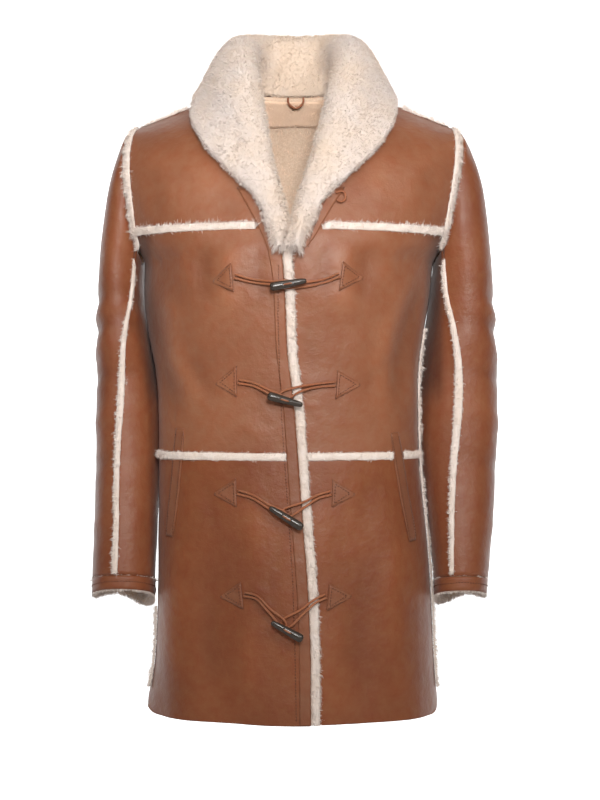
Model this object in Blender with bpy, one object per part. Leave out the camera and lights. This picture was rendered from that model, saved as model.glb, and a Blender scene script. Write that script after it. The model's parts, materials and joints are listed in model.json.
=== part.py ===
"""Shearling coat with a shawl collar, toggles and raw fleece seam edges, filled out as it is worn.

+X is the wearer's left, -Y is the front and +Z is up. The origin is the base of the neck, level with
the high point of the shoulder seams. Tables are in millimetres and give the right half; a piece of the
left half is mirrored, and SHIFT moves a whole row sideways. Every object is in metres.
"""

import math

import bmesh
import bpy
import numpy as np

MM = 0.001
WALL = 6.0  # shorn sheepskin, leather and pile together
SEAM_GAP = 0.2  # each panel's edge draws back by this, so neighbours are 0.4 apart
LIFT = 0.6  # trim lies this far above its panel
FLEECE_THICK = 3.4
FLEECE_WIDE = 10.0

# A row's height on the body: hem 0, waist seam, yoke seam, shoulder seam
VENT_TOP = 92.0
WAIST_ROW = 365.0
UNDERARM_ROW = 638.0
NECK_V_ROW = 646.0
YOKE_ROW = 680.0
SHOULDER_ROW = 900.0
HEM_DEPTH = 890.0  # the hem lies this far below the origin

# row, x, y, z of the side seam
SIDE_SEAM = (
    (0, 197, -25, -886),
    (90, 196, -25, -797),
    (180, 193, -27, -708),
    (260, 189.5, -28, -629),
    (365, 184, -30, -523),
    (450, 183.5, -30, -436),
    (520, 192, -25, -366),
    (585, 203, -15, -303),
    (638, 206, -5, -250),
)
# row, x, y, z of the front armhole edge, from the underarm to the shoulder point
FRONT_ARMHOLE = (
    (638, 206, -5, -250),
    (655, 213, -31, -234),
    (680, 221, -45, -210),
    (740, 231, -50, -150),
    (800, 236.5, -42, -98),
    (860, 235, -20, -70),
    (900, 229, 5, -59),
)
BACK_ARMHOLE = (
    (638, 206, -5, -250),
    (655, 206, 24, -240),
    (680, 208, 46, -222),
    (740, 213, 62, -170),
    (800, 221, 60, -115),
    (860, 227, 34, -76),
    (900, 229, 5, -59),
)
# row, x, y, z of the inner end, its heading, the heading at the outer end, and how full each end is
FRONT_INNER = (
    (0, 0, -147, -890, 0, 90, 0.54, 0.30),
    (90, 0, -147, -800, 0, 90, 0.54, 0.30),
    (180, 0, -146, -710, 0, 90, 0.54, 0.30),
    (260, 0, -143, -630, 0, 90, 0.54, 0.30),
    (365, 0, -138, -524, 0, 90, 0.54, 0.30),
    (450, 0, -138, -438, 0, 90, 0.54, 0.30),
    (520, 0, -142, -368, 0, 88, 0.54, 0.30),
    (585, 0, -147, -303, 0, 84, 0.54, 0.32),
    (646, 9, -149, -242, 2, 74, 0.50, 0.34),
    (680, 18, -144, -208, 5, 62, 0.45, 0.36),
    (740, 40, -127, -150, 8, 52, 0.40, 0.36),
    (800, 60, -98, -95, 10, 42, 0.36, 0.36),
    (850, 75, -55, -42, 8, 22, 0.34, 0.34),
    (900, 88, 15, 0, -4, -4, 0.33, 0.33),
)
BACK_INNER = (
    (0, 0, 122, -890, 0, -90, 0.54, 0.34),
    (180, 0, 118, -710, 0, -90, 0.54, 0.34),
    (365, 0, 110, -524, 0, -90, 0.54, 0.34),
    (450, 0, 116, -438, 0, -90, 0.54, 0.34),
    (520, 0, 126, -368, 0, -90, 0.54, 0.36),
    (585, 0, 134, -303, 0, -88, 0.54, 0.38),
    (646, 0, 139, -242, 0, -76, 0.54, 0.38),
    (680, 0, 140, -205, 0, -66, 0.54, 0.38),
    (740, 0, 138, -145, 0, -56, 0.52, 0.38),
    (800, 0, 128, -86, 0, -48, 0.50, 0.38),
    (850, 0, 109, -38, 0, -36, 0.45, 0.36),
    (900, 0, 80, -2, 0, -14, 0.40, 0.34),
)
# row, how far the whole row stands to one side
SHIFT = (
    (0, 1), (180, 0), (260, -3), (365, -8), (450, -9), (520, -12), (585, -11), (638, -8), (760, -4), (900, 1),
)
# row, how far the top front's edge passes the centre line
EDGE_REACH = (
    (0, 21.5), (90, 21.5), (180, 18.8), (260, 15.6), (365, 12.8),
    (430, 8.7), (500, 2.6), (585, -1.5), (646, -9),
)
UNDERLAP = 45.0  # how far the right front runs on under the left one
UNDERLAP_ENDS = 90.0  # it narrows to nothing over this much below the neck's V
LAYER_STEP = 3.5  # the top front stands this much out, and the one below as much in
STEP_WIDE = 22.0  # beside the top front's edge, the one below comes up again over this width
BACK_NECK_X = 88.0  # half width of the neckline at the shoulder seam
NECK_T = 0.375  # the share of the back's top row that is neckline
BACK_NECK_RISE = 2.0
HEM_CORNER = 34.0  # radius of the fronts' lower side corners
VENT_FLARE = {-1: 13.0, 1: 5.0}  # how far each vent's edges stand out at the hem

# Soft folds of the fronts: side, x and z at the top and at the bottom, half width, height
FRONT_FOLDS = (
    (-1, 68, -215, 74, -330, 17, 4.0),
    (-1, 118, -225, 112, -420, 22, 3.5),
    (-1, 178, -275, 128, -470, 16, -5.0),
    (-1, 150, -560, 158, -880, 26, 4.5),
    (-1, 96, -600, 92, -885, 24, -3.5),
    (-1, 48, -700, 44, -885, 22, 3.0),
    (1, 66, -215, 72, -350, 18, 4.0),
    (1, 120, -225, 104, -420, 22, 3.5),
    (1, 180, -265, 122, -470, 17, -5.5),
    (1, 36, -270, 40, -430, 18, -2.0),
    (1, 146, -560, 156, -880, 24, 4.5),
    (1, 88, -600, 84, -885, 24, -3.5),
    (1, 120, -640, 122, -885, 18, 3.0),
)
BACK_FOLDS = (
    (-1, 60, -260, 70, -860, 34, 4.0),
    (1, 66, -280, 62, -870, 32, 4.5),
    (-1, 128, -420, 136, -880, 26, -3.5),
    (1, 134, -400, 130, -880, 28, -3.5),
    (-1, 150, -150, 118, -330, 22, -4.0),
    (1, 152, -150, 120, -320, 22, -4.0),
)

# Sleeves. level 0 is the armhole, 1 the first full ring; z, outer x, inner x, front y, back y, tilt, lean
SLEEVE_ROWS = {
    -1: (
        (1, -303, 282, 215, -50, 84, 0.00, 5),
        (2, -352, 282.5, 206, -50, 87, 0.00, 6),
        (3, -402, 283, 196, -50, 87, 0.00, 7),
        (4, -452, 283, 187.5, -52, 82, 0.00, 7),
        (5, -510, 283, 188, -58, 72, 0.02, 5),
        (6, -570, 284, 191, -66, 58, 0.06, 3),
        (7, -630, 285, 194, -75, 44, 0.12, 0),
        (8, -680, 286, 196, -82, 33, 0.19, 0),
        (9, -722, 286.5, 197, -86, 25, 0.24, 0),
    ),
    1: (
        (1, -303, 284, 193.4, -52, 84, 0.00, 7),
        (2, -352, 287, 186, -52, 87, 0.00, 8),
        (3, -402, 290, 175, -52, 87, 0.00, 8),
        (4, -452, 291, 170.5, -54, 82, 0.00, 7),
        (5, -510, 289.5, 172.5, -60, 72, 0.02, 5),
        (6, -570, 286, 180.5, -68, 58, 0.06, 3),
        (7, -630, 281.5, 188.5, -77, 44, 0.12, 0),
        (8, -680, 276.5, 194.5, -84, 33, 0.18, 0),
        (9, -722, 272, 197, -88, 25, 0.20, 0),
    ),
}
CUFF_TOP_LEVEL = 8.5
CUFF_TURN = (0.3, 1.7)  # behind, the cuff's edge hangs lower towards the body: the share in the middle, and its rise
ARMHOLE_GAP = 2.2  # the sleeve's edge starts this far outside the armhole's
ARMHOLE_DROP = 3.0
CAP_GAP = 3.6  # and by this much more over the shoulder, where the sleeve head's wall lies flatter
HEAD_FULLNESS = {-1: 0.50, 1: 0.68}  # how far the sleeve head heads outward over the shoulder
UNDERARM_LEAN = -0.15  # under the arm it follows the body's side
# level, the share of a turn at the sleeve's front and back seams (0 inner, 0.25 front, 0.5 outer)
SLEEVE_SEAMS = {
    -1: (
        (0, 0.04, 0.70),
        (0.5, 0.085, 0.70),
        (1, 0.145, 0.70),
        (2, 0.213, 0.70),
        (3, 0.24, 0.70),
        (6, 0.275, 0.70),
        (9, 0.275, 0.70),
    ),
    1: (
        (0, 0.04, 0.62),
        (0.5, 0.085, 0.61),
        (1, 0.143, 0.60),
        (2, 0.198, 0.60),
        (3, 0.23, 0.60),
        (4, 0.236, 0.61),
        (6, 0.212, 0.64),
        (9, 0.185, 0.66),
    ),
}
# Creases at the elbow: side, level, middle as a share of a turn, length, half width in levels, height
SLEEVE_CREASES = (
    (-1, 1.7, 0.30, 0.14, 0.16, -4.5),
    (-1, 2.5, 0.36, 0.12, 0.17, -3.5),
    (-1, 3.4, 0.27, 0.13, 0.20, -3.5),
    (-1, 5.2, 0.33, 0.10, 0.26, -2.5),
    (1, 1.8, 0.27, 0.14, 0.17, -4.5),
    (1, 2.7, 0.34, 0.12, 0.18, -3.5),
    (1, 3.6, 0.28, 0.13, 0.22, -3.5),
    (1, 5.6, 0.34, 0.10, 0.26, -2.5),
)


def tidy_curve(rows):
    """A smooth curve through a table's rows that never overshoots them, called with row heights."""
    table = np.array(rows, float)
    at, values = table[:, 0], table[:, 1:]
    run = np.diff(at)[:, None]
    slope = np.diff(values, axis=0) / run
    tangent = np.zeros_like(values)
    same_way = slope[:-1] * slope[1:] > 0
    mean = 2 * slope[:-1] * slope[1:] / np.where(same_way, slope[:-1] + slope[1:], 1)
    tangent[1:-1] = np.where(same_way, mean, 0)
    tangent[0], tangent[-1] = slope[0], slope[-1]

    def value(where):
        where = np.clip(np.asarray(where, float), at[0], at[-1])
        k = np.clip(np.searchsorted(at, where, side="right") - 1, 0, len(at) - 2)
        width = (at[k + 1] - at[k])[..., None]
        t = ((where - at[k]) / (at[k + 1] - at[k]))[..., None]
        return (
            values[k] * (1 + 2 * t) * (1 - t) ** 2
            + tangent[k] * width * t * (1 - t) ** 2
            + values[k + 1] * t * t * (3 - 2 * t)
            - tangent[k + 1] * width * t * t * (1 - t)
        )

    return value


def smooth_step(value):
    t = np.clip(value, 0.0, 1.0)
    return t * t * (3 - 2 * t)


side_seam = tidy_curve(SIDE_SEAM)
front_armhole = tidy_curve(FRONT_ARMHOLE)
back_armhole = tidy_curve(BACK_ARMHOLE)
front_inner = tidy_curve(FRONT_INNER)
back_inner = tidy_curve(BACK_INNER)
row_shift = tidy_curve(SHIFT)
edge_reach = tidy_curve(EDGE_REACH)


def outer_end(row, armhole):
    """The side seam below the underarm and the armhole's edge above it."""
    below = side_seam(np.minimum(row, UNDERARM_ROW))
    above = armhole(np.maximum(row, UNDERARM_ROW))
    return np.where((row < UNDERARM_ROW)[..., None], below, above)


def row_point(inner, outer, t):
    """A point on one row: a cubic from the inner end to the outer one. t under 0 runs on past the middle."""
    start, end = inner[..., :3], outer
    head_in, head_out = np.radians(inner[..., 3]), np.radians(inner[..., 4])
    chord = np.linalg.norm((end - start)[..., :2], axis=-1)
    reach_in, reach_out = inner[..., 5] * chord, inner[..., 6] * chord
    s = np.abs(t)
    b0, b1, b2, b3 = (1 - s) ** 3, 3 * s * (1 - s) ** 2, 3 * s * s * (1 - s), s**3
    x = b0 * start[..., 0] + b1 * (start[..., 0] + reach_in * np.cos(head_in))
    x = x + b2 * (end[..., 0] - reach_out * np.cos(head_out)) + b3 * end[..., 0]
    y = b0 * start[..., 1] + b1 * (start[..., 1] + reach_in * np.sin(head_in))
    y = y + b2 * (end[..., 1] - reach_out * np.sin(head_out)) + b3 * end[..., 1]
    share = (x - start[..., 0]) / (end[..., 0] - start[..., 0])
    z = start[..., 2] + (end[..., 2] - start[..., 2]) * share
    x = np.where(t < 0, 2 * start[..., 0] - x, x)
    return np.stack([x, y, z], axis=-1)


def fold_height(folds, side, x, z):
    """The height of the folds at a place on the front or back, seen square on."""
    height = np.zeros_like(x)
    for fold_side, x_top, z_top, x_low, z_low, half_width, rise in folds:
        if fold_side != side:
            continue
        along = np.clip((z_top - z) / (z_top - z_low), 0, 1)
        beyond = np.maximum(z - z_top, 0) + np.maximum(z_low - z, 0)
        across = (x - (x_top + (x_low - x_top) * along)) / half_width
        fade = smooth_step(along * 4) * smooth_step((1 - along) * 4 + (z_low < -850))
        height = height + rise * fade * np.exp(-across * across - (beyond / 40) ** 2)
    return height


def side_fade(t):
    """Folds run out before the side seam, so that front and back meet there."""
    return smooth_step((1 - t) / 0.12)


def past_edge(row):
    """How far each front runs past the centre line (under 0: it stops short of it)."""
    return edge_reach(row)[..., 0]


def underlap(row):
    return UNDERLAP * smooth_step((NECK_V_ROW - row) / UNDERLAP_ENDS)


def front_bare(t, row):
    return row_point(front_inner(row), outer_end(row, front_armhole), t)


def front_surface(side, t, row):
    """The leather side of a front, in millimetres. t is 0 at the centre or neckline and 1 at the side."""
    t, row = np.broadcast_arrays(np.asarray(t, float), np.asarray(row, float))
    points = front_bare(t, row)
    x = points[..., 0]
    height = fold_height(FRONT_FOLDS, side, x, points[..., 2]) * side_fade(t)
    below_v = smooth_step((NECK_V_ROW + 30 - row) / 50)
    reach = past_edge(np.minimum(row, NECK_V_ROW))
    if side < 0:
        height = height + LAYER_STEP * below_v * smooth_step((UNDERLAP + 60 - (x + reach)) / 55)
    else:
        height = height - LAYER_STEP * below_v * smooth_step((STEP_WIDE + 2 + reach - x) / STEP_WIDE)
    flare = VENT_FLARE[side] * smooth_step(1 - row / VENT_TOP) * smooth_step((t - 0.72) / 0.28)
    ahead = front_bare(t + 0.01, row) - points
    up = front_bare(t, row + 2) - front_bare(t, row - 2)
    normal = np.cross(ahead, up)
    normal = normal / np.linalg.norm(normal, axis=-1, keepdims=True)
    points = points + normal * (height + flare)[..., None]
    points[..., 0] = side * points[..., 0] + row_shift(row)[..., 0]
    return points


def back_bare(t, row):
    """The back's right half. Near the top its rows ease into the back neckline and the shoulder seam."""
    points = row_point(back_inner(row), outer_end(row, back_armhole), t)
    neck = front_inner(np.full_like(row, SHOULDER_ROW))[..., :3]
    end = outer_end(np.full_like(row, SHOULDER_ROW), front_armhole)
    turn = np.clip(t / NECK_T, 0, 1) * math.pi / 2
    start = back_inner(np.full_like(row, SHOULDER_ROW))[..., :3]
    arc = np.stack(
        [
            BACK_NECK_X * np.sin(turn),
            neck[..., 1] + (start[..., 1] - neck[..., 1]) * np.cos(turn),
            start[..., 2] + BACK_NECK_RISE * (1 - np.cos(turn)),
        ],
        axis=-1,
    )
    line = neck + (end - neck) * np.clip((t - NECK_T) / (1 - NECK_T), 0, 1)[..., None]
    top = np.where((t < NECK_T)[..., None], arc, line)
    plain_top = row_point(back_inner(np.full_like(row, SHOULDER_ROW)), end, t)
    ease = np.clip((row - 760) / (SHOULDER_ROW - 760), 0, 1) ** 2
    return points + (top - plain_top) * ease[..., None]


def back_surface(side, t, row):
    t, row = np.broadcast_arrays(np.asarray(t, float), np.asarray(row, float))
    points = back_bare(t, row)
    height = fold_height(BACK_FOLDS, side, points[..., 0], points[..., 2]) * side_fade(t)
    flare = 0.7 * VENT_FLARE[side] * smooth_step(1 - row / VENT_TOP) * smooth_step((t - 0.72) / 0.28)
    ahead = back_bare(t + 0.01, row) - back_bare(t - 0.01, row)
    up = back_bare(t, row + 2) - back_bare(t, row - 2)
    normal = np.cross(up, ahead)
    normal = normal / np.linalg.norm(normal, axis=-1, keepdims=True)
    points = points + normal * (height + flare)[..., None]
    points[..., 0] = side * points[..., 0] + row_shift(row)[..., 0]
    return points


def front_t(side, x, row):
    """The t at which a row of a front reaches x, given outward from the row's own middle."""
    tries = np.linspace(-0.5, 1, 400)
    found = front_bare(tries, np.full_like(tries, float(row)))[:, 0]
    return float(np.interp(x, found, tries))


def edge_t(side, row):
    """t at a front's inner edge: the front edge below the neck's V and the neckline above it."""
    if row >= NECK_V_ROW:
        return 0.0
    reach = float(past_edge(np.array([row]))[0])
    if side < 0:
        return front_t(side, -reach, row)
    return front_t(side, reach - float(underlap(np.array(row))), row)


def side_t(row):
    """t at the fronts' side edge, rounded off at the hem's corner."""
    if row >= HEM_CORNER:
        return 1.0
    cut = HEM_CORNER - math.sqrt(HEM_CORNER**2 - (HEM_CORNER - row) ** 2)
    return 1.0 - cut / 260.0


# ---------------------------------------------------------------- sleeves

sleeve_rings = {side: tidy_curve(rows) for side, rows in SLEEVE_ROWS.items()}
sleeve_seams = {side: tidy_curve(rows) for side, rows in SLEEVE_SEAMS.items()}


def armhole_row(turn):
    """The body row that a turn of the sleeve meets: 0 under the arm, 0.5 at the shoulder."""
    share = np.minimum(turn, 1 - turn) / 0.5
    return UNDERARM_ROW + (SHOULDER_ROW - UNDERARM_ROW) * share


def armhole_point(turn):
    row = armhole_row(turn)
    return np.where((turn <= 0.5)[..., None], front_armhole(row), back_armhole(row))


def ring_point(side, turn, level):
    ring = sleeve_rings[side](np.maximum(level, 1.0))
    z, outer, inner, front, back, tilt, lean = np.moveaxis(ring, -1, 0)
    angle = 2 * math.pi * turn
    cos, sin = np.cos(angle), np.sin(angle)
    squarer = 0.88
    across = np.sign(cos) * np.abs(cos) ** squarer
    along = np.sign(sin) * np.abs(sin) ** squarer
    x = (outer + inner) / 2 - (outer - inner) / 2 * across + lean * along
    y = (front + back) / 2 - (back - front) / 2 * along
    behind = y - (front + back) / 2
    turned = CUFF_TURN[0] + CUFF_TURN[1] * across - 1
    at_edge = smooth_step((np.maximum(level, 1.0) - CUFF_TOP_LEVEL) / (9 - CUFF_TOP_LEVEL)) * (behind > 0)
    return np.stack([x, y, z - tilt * behind * (1 + np.maximum(turned, -1) * at_edge)], axis=-1)


def sleeve_surface(side, turn, level):
    """The leather side of a sleeve. turn goes round from the inner side by the front; level runs down."""
    turn, level = np.broadcast_arrays(np.asarray(turn, float), np.asarray(level, float))
    turn = turn % 1.0
    first = np.ones_like(level)
    start = armhole_point(turn)
    top = 0.5 - 0.5 * np.cos(2 * math.pi * turn)
    outward = UNDERARM_LEAN + (HEAD_FULLNESS[side] - UNDERARM_LEAN) * top
    away = np.stack([outward, -0.2 * np.sin(2 * math.pi * turn), -1 + 0.2 * top], axis=-1)
    start = start + ARMHOLE_DROP * away * (1 - top[..., None])
    start[..., 0] += ARMHOLE_GAP + CAP_GAP * top
    end = ring_point(side, turn, first)
    length = np.linalg.norm(end - start, axis=-1, keepdims=True)
    below = ring_point(side, turn, first * 1.02) - end
    below = below / np.linalg.norm(below, axis=-1, keepdims=True)
    s = np.clip(level, 0, 1)[..., None]
    head = (
        start * (1 + 2 * s) * (1 - s) ** 2
        + away * length * 0.8 * s * (1 - s) ** 2
        + end * s * s * (3 - 2 * s)
        - below * length * 0.9 * s * s * (1 - s)
    )
    points = np.where((level < 1)[..., None], head, ring_point(side, turn, level))
    height = np.zeros_like(level)
    for crease_side, at, middle, span, half_width, rise in SLEEVE_CREASES:
        if crease_side == side:
            off = (turn - middle + 0.5) % 1.0 - 0.5
            slant = at + 1.2 * off
            height = height + rise * np.exp(-((off / span) ** 2) - ((level - slant) / half_width) ** 2)
    centre = np.stack([(end[..., 0] * 0 + 243), end[..., 1] * 0 + 10, points[..., 2]], axis=-1)
    out = points - centre
    out[..., 2] = 0
    out = out / np.linalg.norm(out, axis=-1, keepdims=True)
    points = points + out * height[..., None]
    # The armhole is shifted with the body; below it the sleeve's own table holds its place.
    shift = row_shift(armhole_row(turn))[..., 0] * (1 - smooth_step(level))
    points[..., 0] = side * points[..., 0] + shift
    return points


# ---------------------------------------------------------------- meshes


def grid_normals(points):
    """Unit normals of a grid of points, by the difference of its neighbours."""
    down = np.gradient(points, axis=0)
    over = np.gradient(points, axis=1)
    normal = np.cross(over, down)
    return normal / np.linalg.norm(normal, axis=-1, keepdims=True)


def material(name, colour, roughness):
    found = bpy.data.materials.get(name)
    if found:
        return found
    made = bpy.data.materials.new(name)
    made.use_nodes = True
    shader = made.node_tree.nodes["Principled BSDF"]
    shader.inputs["Base Color"].default_value = (*colour, 1)
    shader.inputs["Roughness"].default_value = roughness
    shader.inputs["Metallic"].default_value = 0.0
    made.diffuse_color = (*colour, 1)
    return made


def leather():
    return material("tan leather", (0.31, 0.125, 0.055), 0.5)


def fleece():
    return material("cream fleece", (0.80, 0.68, 0.54), 0.95)


def thong():
    return material("thong leather", (0.24, 0.085, 0.035), 0.55)


def horn():
    return material("dark horn", (0.035, 0.02, 0.014), 0.28)


def add_object(name, bm, look):
    bmesh.ops.recalc_face_normals(bm, faces=bm.faces)
    if bm.calc_volume(signed=True) < 0:
        bmesh.ops.reverse_faces(bm, faces=bm.faces)
    mesh = bpy.data.meshes.new(name)
    bm.to_mesh(mesh)
    bm.free()
    mesh.materials.append(look)
    mesh.shade_smooth()
    mesh.set_sharp_from_angle(angle=math.radians(40))
    made = bpy.data.objects.new(name, mesh)
    bpy.context.scene.collection.objects.link(made)
    return made


def wall_mesh(outer, inner, around=False):
    """A closed wall between two grids of points; around joins its last column to its first."""
    bm = bmesh.new()
    rows, columns = outer.shape[:2]
    layers = [[[bm.verts.new(p * MM) for p in row] for row in layer] for layer in (outer, inner)]
    spans = range(columns if around else columns - 1)
    for r in range(rows - 1):
        for c in spans:
            n = (c + 1) % columns
            for layer in layers:
                bm.faces.new((layer[r][c], layer[r][n], layer[r + 1][n], layer[r + 1][c]))
    for r in (0, rows - 1):
        for c in spans:
            n = (c + 1) % columns
            bm.faces.new((layers[0][r][c], layers[0][r][n], layers[1][r][n], layers[1][r][c]))
    if not around:
        for c in (0, columns - 1):
            for r in range(rows - 1):
                bm.faces.new((layers[0][r][c], layers[0][r + 1][c], layers[1][r + 1][c], layers[1][r][c]))
    return bm


def drawn_back(points, gap, around=False):
    """The grid with its border drawn in by gap, so that it is parted from its neighbours."""

    def toward(border, inside):
        step = inside - border
        return border + gap * step / np.linalg.norm(step, axis=-1, keepdims=True)

    made = points.copy()
    made[0], made[-1] = toward(points[0], points[1]), toward(points[-1], points[-2])
    if not around:
        first, last = toward(made[:, 0], made[:, 1]), toward(made[:, -1], made[:, -2])
        made[:, 0], made[:, -1] = first, last
    return made


def panel(name, outer, thick, look, around=False, outward=None, gap=SEAM_GAP):
    """A wall of the given thickness under a grid of points; outward is a point's own side, as a sign."""
    normal = grid_normals(outer) if outward is None else outward
    inner = outer - normal * thick
    return add_object(
        name,
        wall_mesh(drawn_back(outer, gap, around), drawn_back(inner, gap, around), around),
        look,
    )


def surface_normals(surface, side, a, b, step_a, step_b, facing):
    """Normals of a surface at its places (a, b), turned to the side that faces away from `facing`."""
    along = surface(side, a + step_a, b) - surface(side, a - step_a, b)
    up = surface(side, a, b + step_b) - surface(side, a, b - step_b)
    normal = np.cross(along, up)
    normal = normal / np.linalg.norm(normal, axis=-1, keepdims=True)
    away = np.sum(normal * (surface(side, a, b) - facing), axis=-1, keepdims=True)
    return np.where(away < 0, -normal, normal)


def free_normals(surface, side, t, row):
    points = surface(side, t, row)
    facing = np.stack([points[..., 0] * 0.3, points[..., 1] * 0 - 5, points[..., 2] - 30], axis=-1)
    inner_t = np.clip(t, -0.45, 0.985)
    inner_row = np.clip(row, 3, SHOULDER_ROW - 8)
    return surface_normals(surface, side, inner_t, inner_row, 0.012, 3.0, facing)


def body_normals(surface, side, t, row):
    """Normals of a body panel. Front and back share them along the side seam and the shoulder seam."""
    t, row = np.broadcast_arrays(np.asarray(t, float), np.asarray(row, float))
    normal = free_normals(surface, side, t, row)
    shared = free_normals(front_surface, side, np.ones_like(t), row)
    shared = shared + free_normals(back_surface, side, np.ones_like(t), row)
    at_side = (t > 0.9999) & (row <= UNDERARM_ROW + 1)
    normal = np.where(at_side[..., None], shared, normal)
    over_shoulder = np.array([side * 0.386, 0.0, 0.922])
    at_shoulder = row > SHOULDER_ROW - 1
    if surface is back_surface:
        at_shoulder = at_shoulder & (t > NECK_T - 0.001)
    normal = np.where(at_shoulder[..., None], over_shoulder, normal)
    return normal / np.linalg.norm(normal, axis=-1, keepdims=True)


def sleeve_normals(side, turn, level):
    points = sleeve_surface(side, turn, level)
    level = np.clip(level, 0.04, 8.96)
    under = 110 * np.clip(1 - level, 0, 1) * (0.5 - 0.5 * np.cos(2 * math.pi * turn)) ** 2
    facing = np.stack([0 * under + side * 240, 0 * under + 12, points[..., 2] - under], axis=-1)
    return surface_normals(sleeve_surface, side, turn, level, 0.006, 0.03, facing)


def front_columns(side, row):
    """A front panel's columns on a row: its inner ones stand closer, where one front laps over the other."""
    first = edge_t(side, row)
    close = [0, 15, 45] if side < 0 else [0, 0.5, 1, 1 + STEP_WIDE / max(float(underlap(np.array(row))), 6)]
    unit = 1 if side < 0 else max(float(underlap(np.array(row))), 6)
    at = front_bare(np.array([first]), np.array([float(row)]))[0, 0]
    near = [front_t(side, at + share * unit, row) for share in close]
    return np.concatenate([near[:-1], np.linspace(near[-1], side_t(row), FRONT_COLUMNS - len(near) + 1)])


def front_panel_points(side, rows):
    t = np.array([front_columns(side, row) for row in rows])
    row = np.repeat(np.array(rows)[:, None], t.shape[1], axis=1)
    points = front_surface(side, t, row)
    normal = body_normals(front_surface, side, t, row)
    return points, normal


FRONT_ROWS = {
    "skirt": np.concatenate([np.array([0, 7, 18, 34]), np.linspace(60, WAIST_ROW, 11)]),
    "body": np.concatenate([np.linspace(WAIST_ROW, UNDERARM_ROW, 10), np.array([655, YOKE_ROW])]),
    "yoke": np.linspace(YOKE_ROW, SHOULDER_ROW, 8),
}
FRONT_COLUMNS = 11
SIDE_NAME = {-1: "right", 1: "left"}  # the wearer's own side


def build_fronts():
    for side in (-1, 1):
        for part, rows in FRONT_ROWS.items():
            points, normal = front_panel_points(side, rows)
            panel(f"front_{part}_{SIDE_NAME[side]}", points, WALL, leather(), outward=normal)


BACK_ROWS = {
    "skirt": np.linspace(0, WAIST_ROW, 11),
    "body": np.concatenate([np.linspace(WAIST_ROW, UNDERARM_ROW, 8), np.array([655, YOKE_ROW])]),
    "yoke": np.array([YOKE_ROW, 714, 748, 782, 816, 850, 876, SHOULDER_ROW]),
}


def build_back():
    for part, rows in BACK_ROWS.items():
        back_panel(f"back_{part}", rows)


def back_panel(name, rows):
    half = np.linspace(0, 1, 9)
    t = np.repeat(half[None], len(rows), axis=0)
    row = np.repeat(rows[:, None], len(half), axis=1)
    left, right = back_surface(-1, t, row), back_surface(1, t, row)
    left_normal = body_normals(back_surface, -1, t, row)
    right_normal = body_normals(back_surface, 1, t, row)
    points = np.concatenate([left[:, ::-1], right[:, 1:]], axis=1)
    normal = np.concatenate([left_normal[:, ::-1], right_normal[:, 1:]], axis=1)
    panel(name, points, WALL, leather(), outward=normal)


def sleeve_points(side, start, end, levels, columns):
    seams = sleeve_seams[side](levels)
    front, back = seams[:, 0], seams[:, 1]
    begin = front if start == "front" else back
    finish = back if end == "back" else front + 1
    turn = begin[:, None] + (finish - begin)[:, None] * np.linspace(0, 1, columns)[None]
    level = np.repeat(levels[:, None], columns, axis=1)
    return turn, level, sleeve_surface(side, turn, level), sleeve_normals(side, turn, level)


SLEEVE_LEVELS = np.concatenate([np.array([0, 0.2, 0.42, 0.7]), np.linspace(1, CUFF_TOP_LEVEL, 14)])
SLEEVE_FLEECE_FROM = 2  # the front seam's fleece starts at this one of the levels, clear of the armhole
SLEEVE_COLUMNS = 9


def build_sleeves():
    levels = SLEEVE_LEVELS
    cuff_levels = np.linspace(CUFF_TOP_LEVEL, 9, 2)
    for side in (-1, 1):
        where = SIDE_NAME[side]
        _, _, points, normal = sleeve_points(side, "front", "back", levels, SLEEVE_COLUMNS)
        panel(f"top_sleeve_{where}", points, WALL, leather(), outward=normal)
        _, _, points, normal = sleeve_points(side, "back", "front", levels, SLEEVE_COLUMNS)
        panel(f"under_sleeve_{where}", points, WALL, leather(), outward=normal)
        turn = np.repeat(np.linspace(0, 1, 24, endpoint=False)[None], 2, axis=0)
        level = np.repeat(cuff_levels[:, None], 24, axis=1)
        points = sleeve_surface(side, turn, level)
        normal = sleeve_normals(side, turn, level)
        panel(f"cuff_band_{where}", points, WALL, leather(), around=True, outward=normal)


# ---------------------------------------------------------------- fleece seam edges and bands

# How a fleece edge stands across its width: the middle is full and the sides are lower
FLEECE_PROFILE = np.array([0.55, 1.0, 0.55])


def trim_between(name, low, normal, look, thick, lift=LIFT, profile=FLEECE_PROFILE):
    """Trim that lies on a surface: three rows of points moved out, lower along both sides."""
    height = (thick * profile)[:, None, None]
    lift = np.broadcast_to(np.asarray(lift, float), low.shape[:2])[..., None]
    base = low + normal * lift
    return add_object(name, wall_mesh(base + normal * height, base), look)


def row_trim(name, side, row, t_from, t_to, lift=LIFT, extra=()):
    """Raw fleece along a row of a front, on the panel's own columns between two and on the extra ones."""
    rows = np.array([row - FLEECE_WIDE / 2, row, row + FLEECE_WIDE / 2])
    own = [t for t in front_columns(side, row) if all(abs(t - other) > 0.012 for other in extra)]
    whole = np.array(own + list(extra))
    inside = np.sort(whole[(whole > t_from + 0.02) & (whole < t_to - 0.02)])
    columns = np.concatenate([[t_from], inside, [t_to]])
    t = np.repeat(columns[None], 3, axis=0)
    at = np.repeat(rows[:, None], len(columns), axis=1)
    low, normal = front_surface(side, t, at), body_normals(front_surface, side, t, at)
    lifts = lift(low) if callable(lift) else lift
    trim_between(name, low, normal, fleece(), FLEECE_THICK, lifts)


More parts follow.
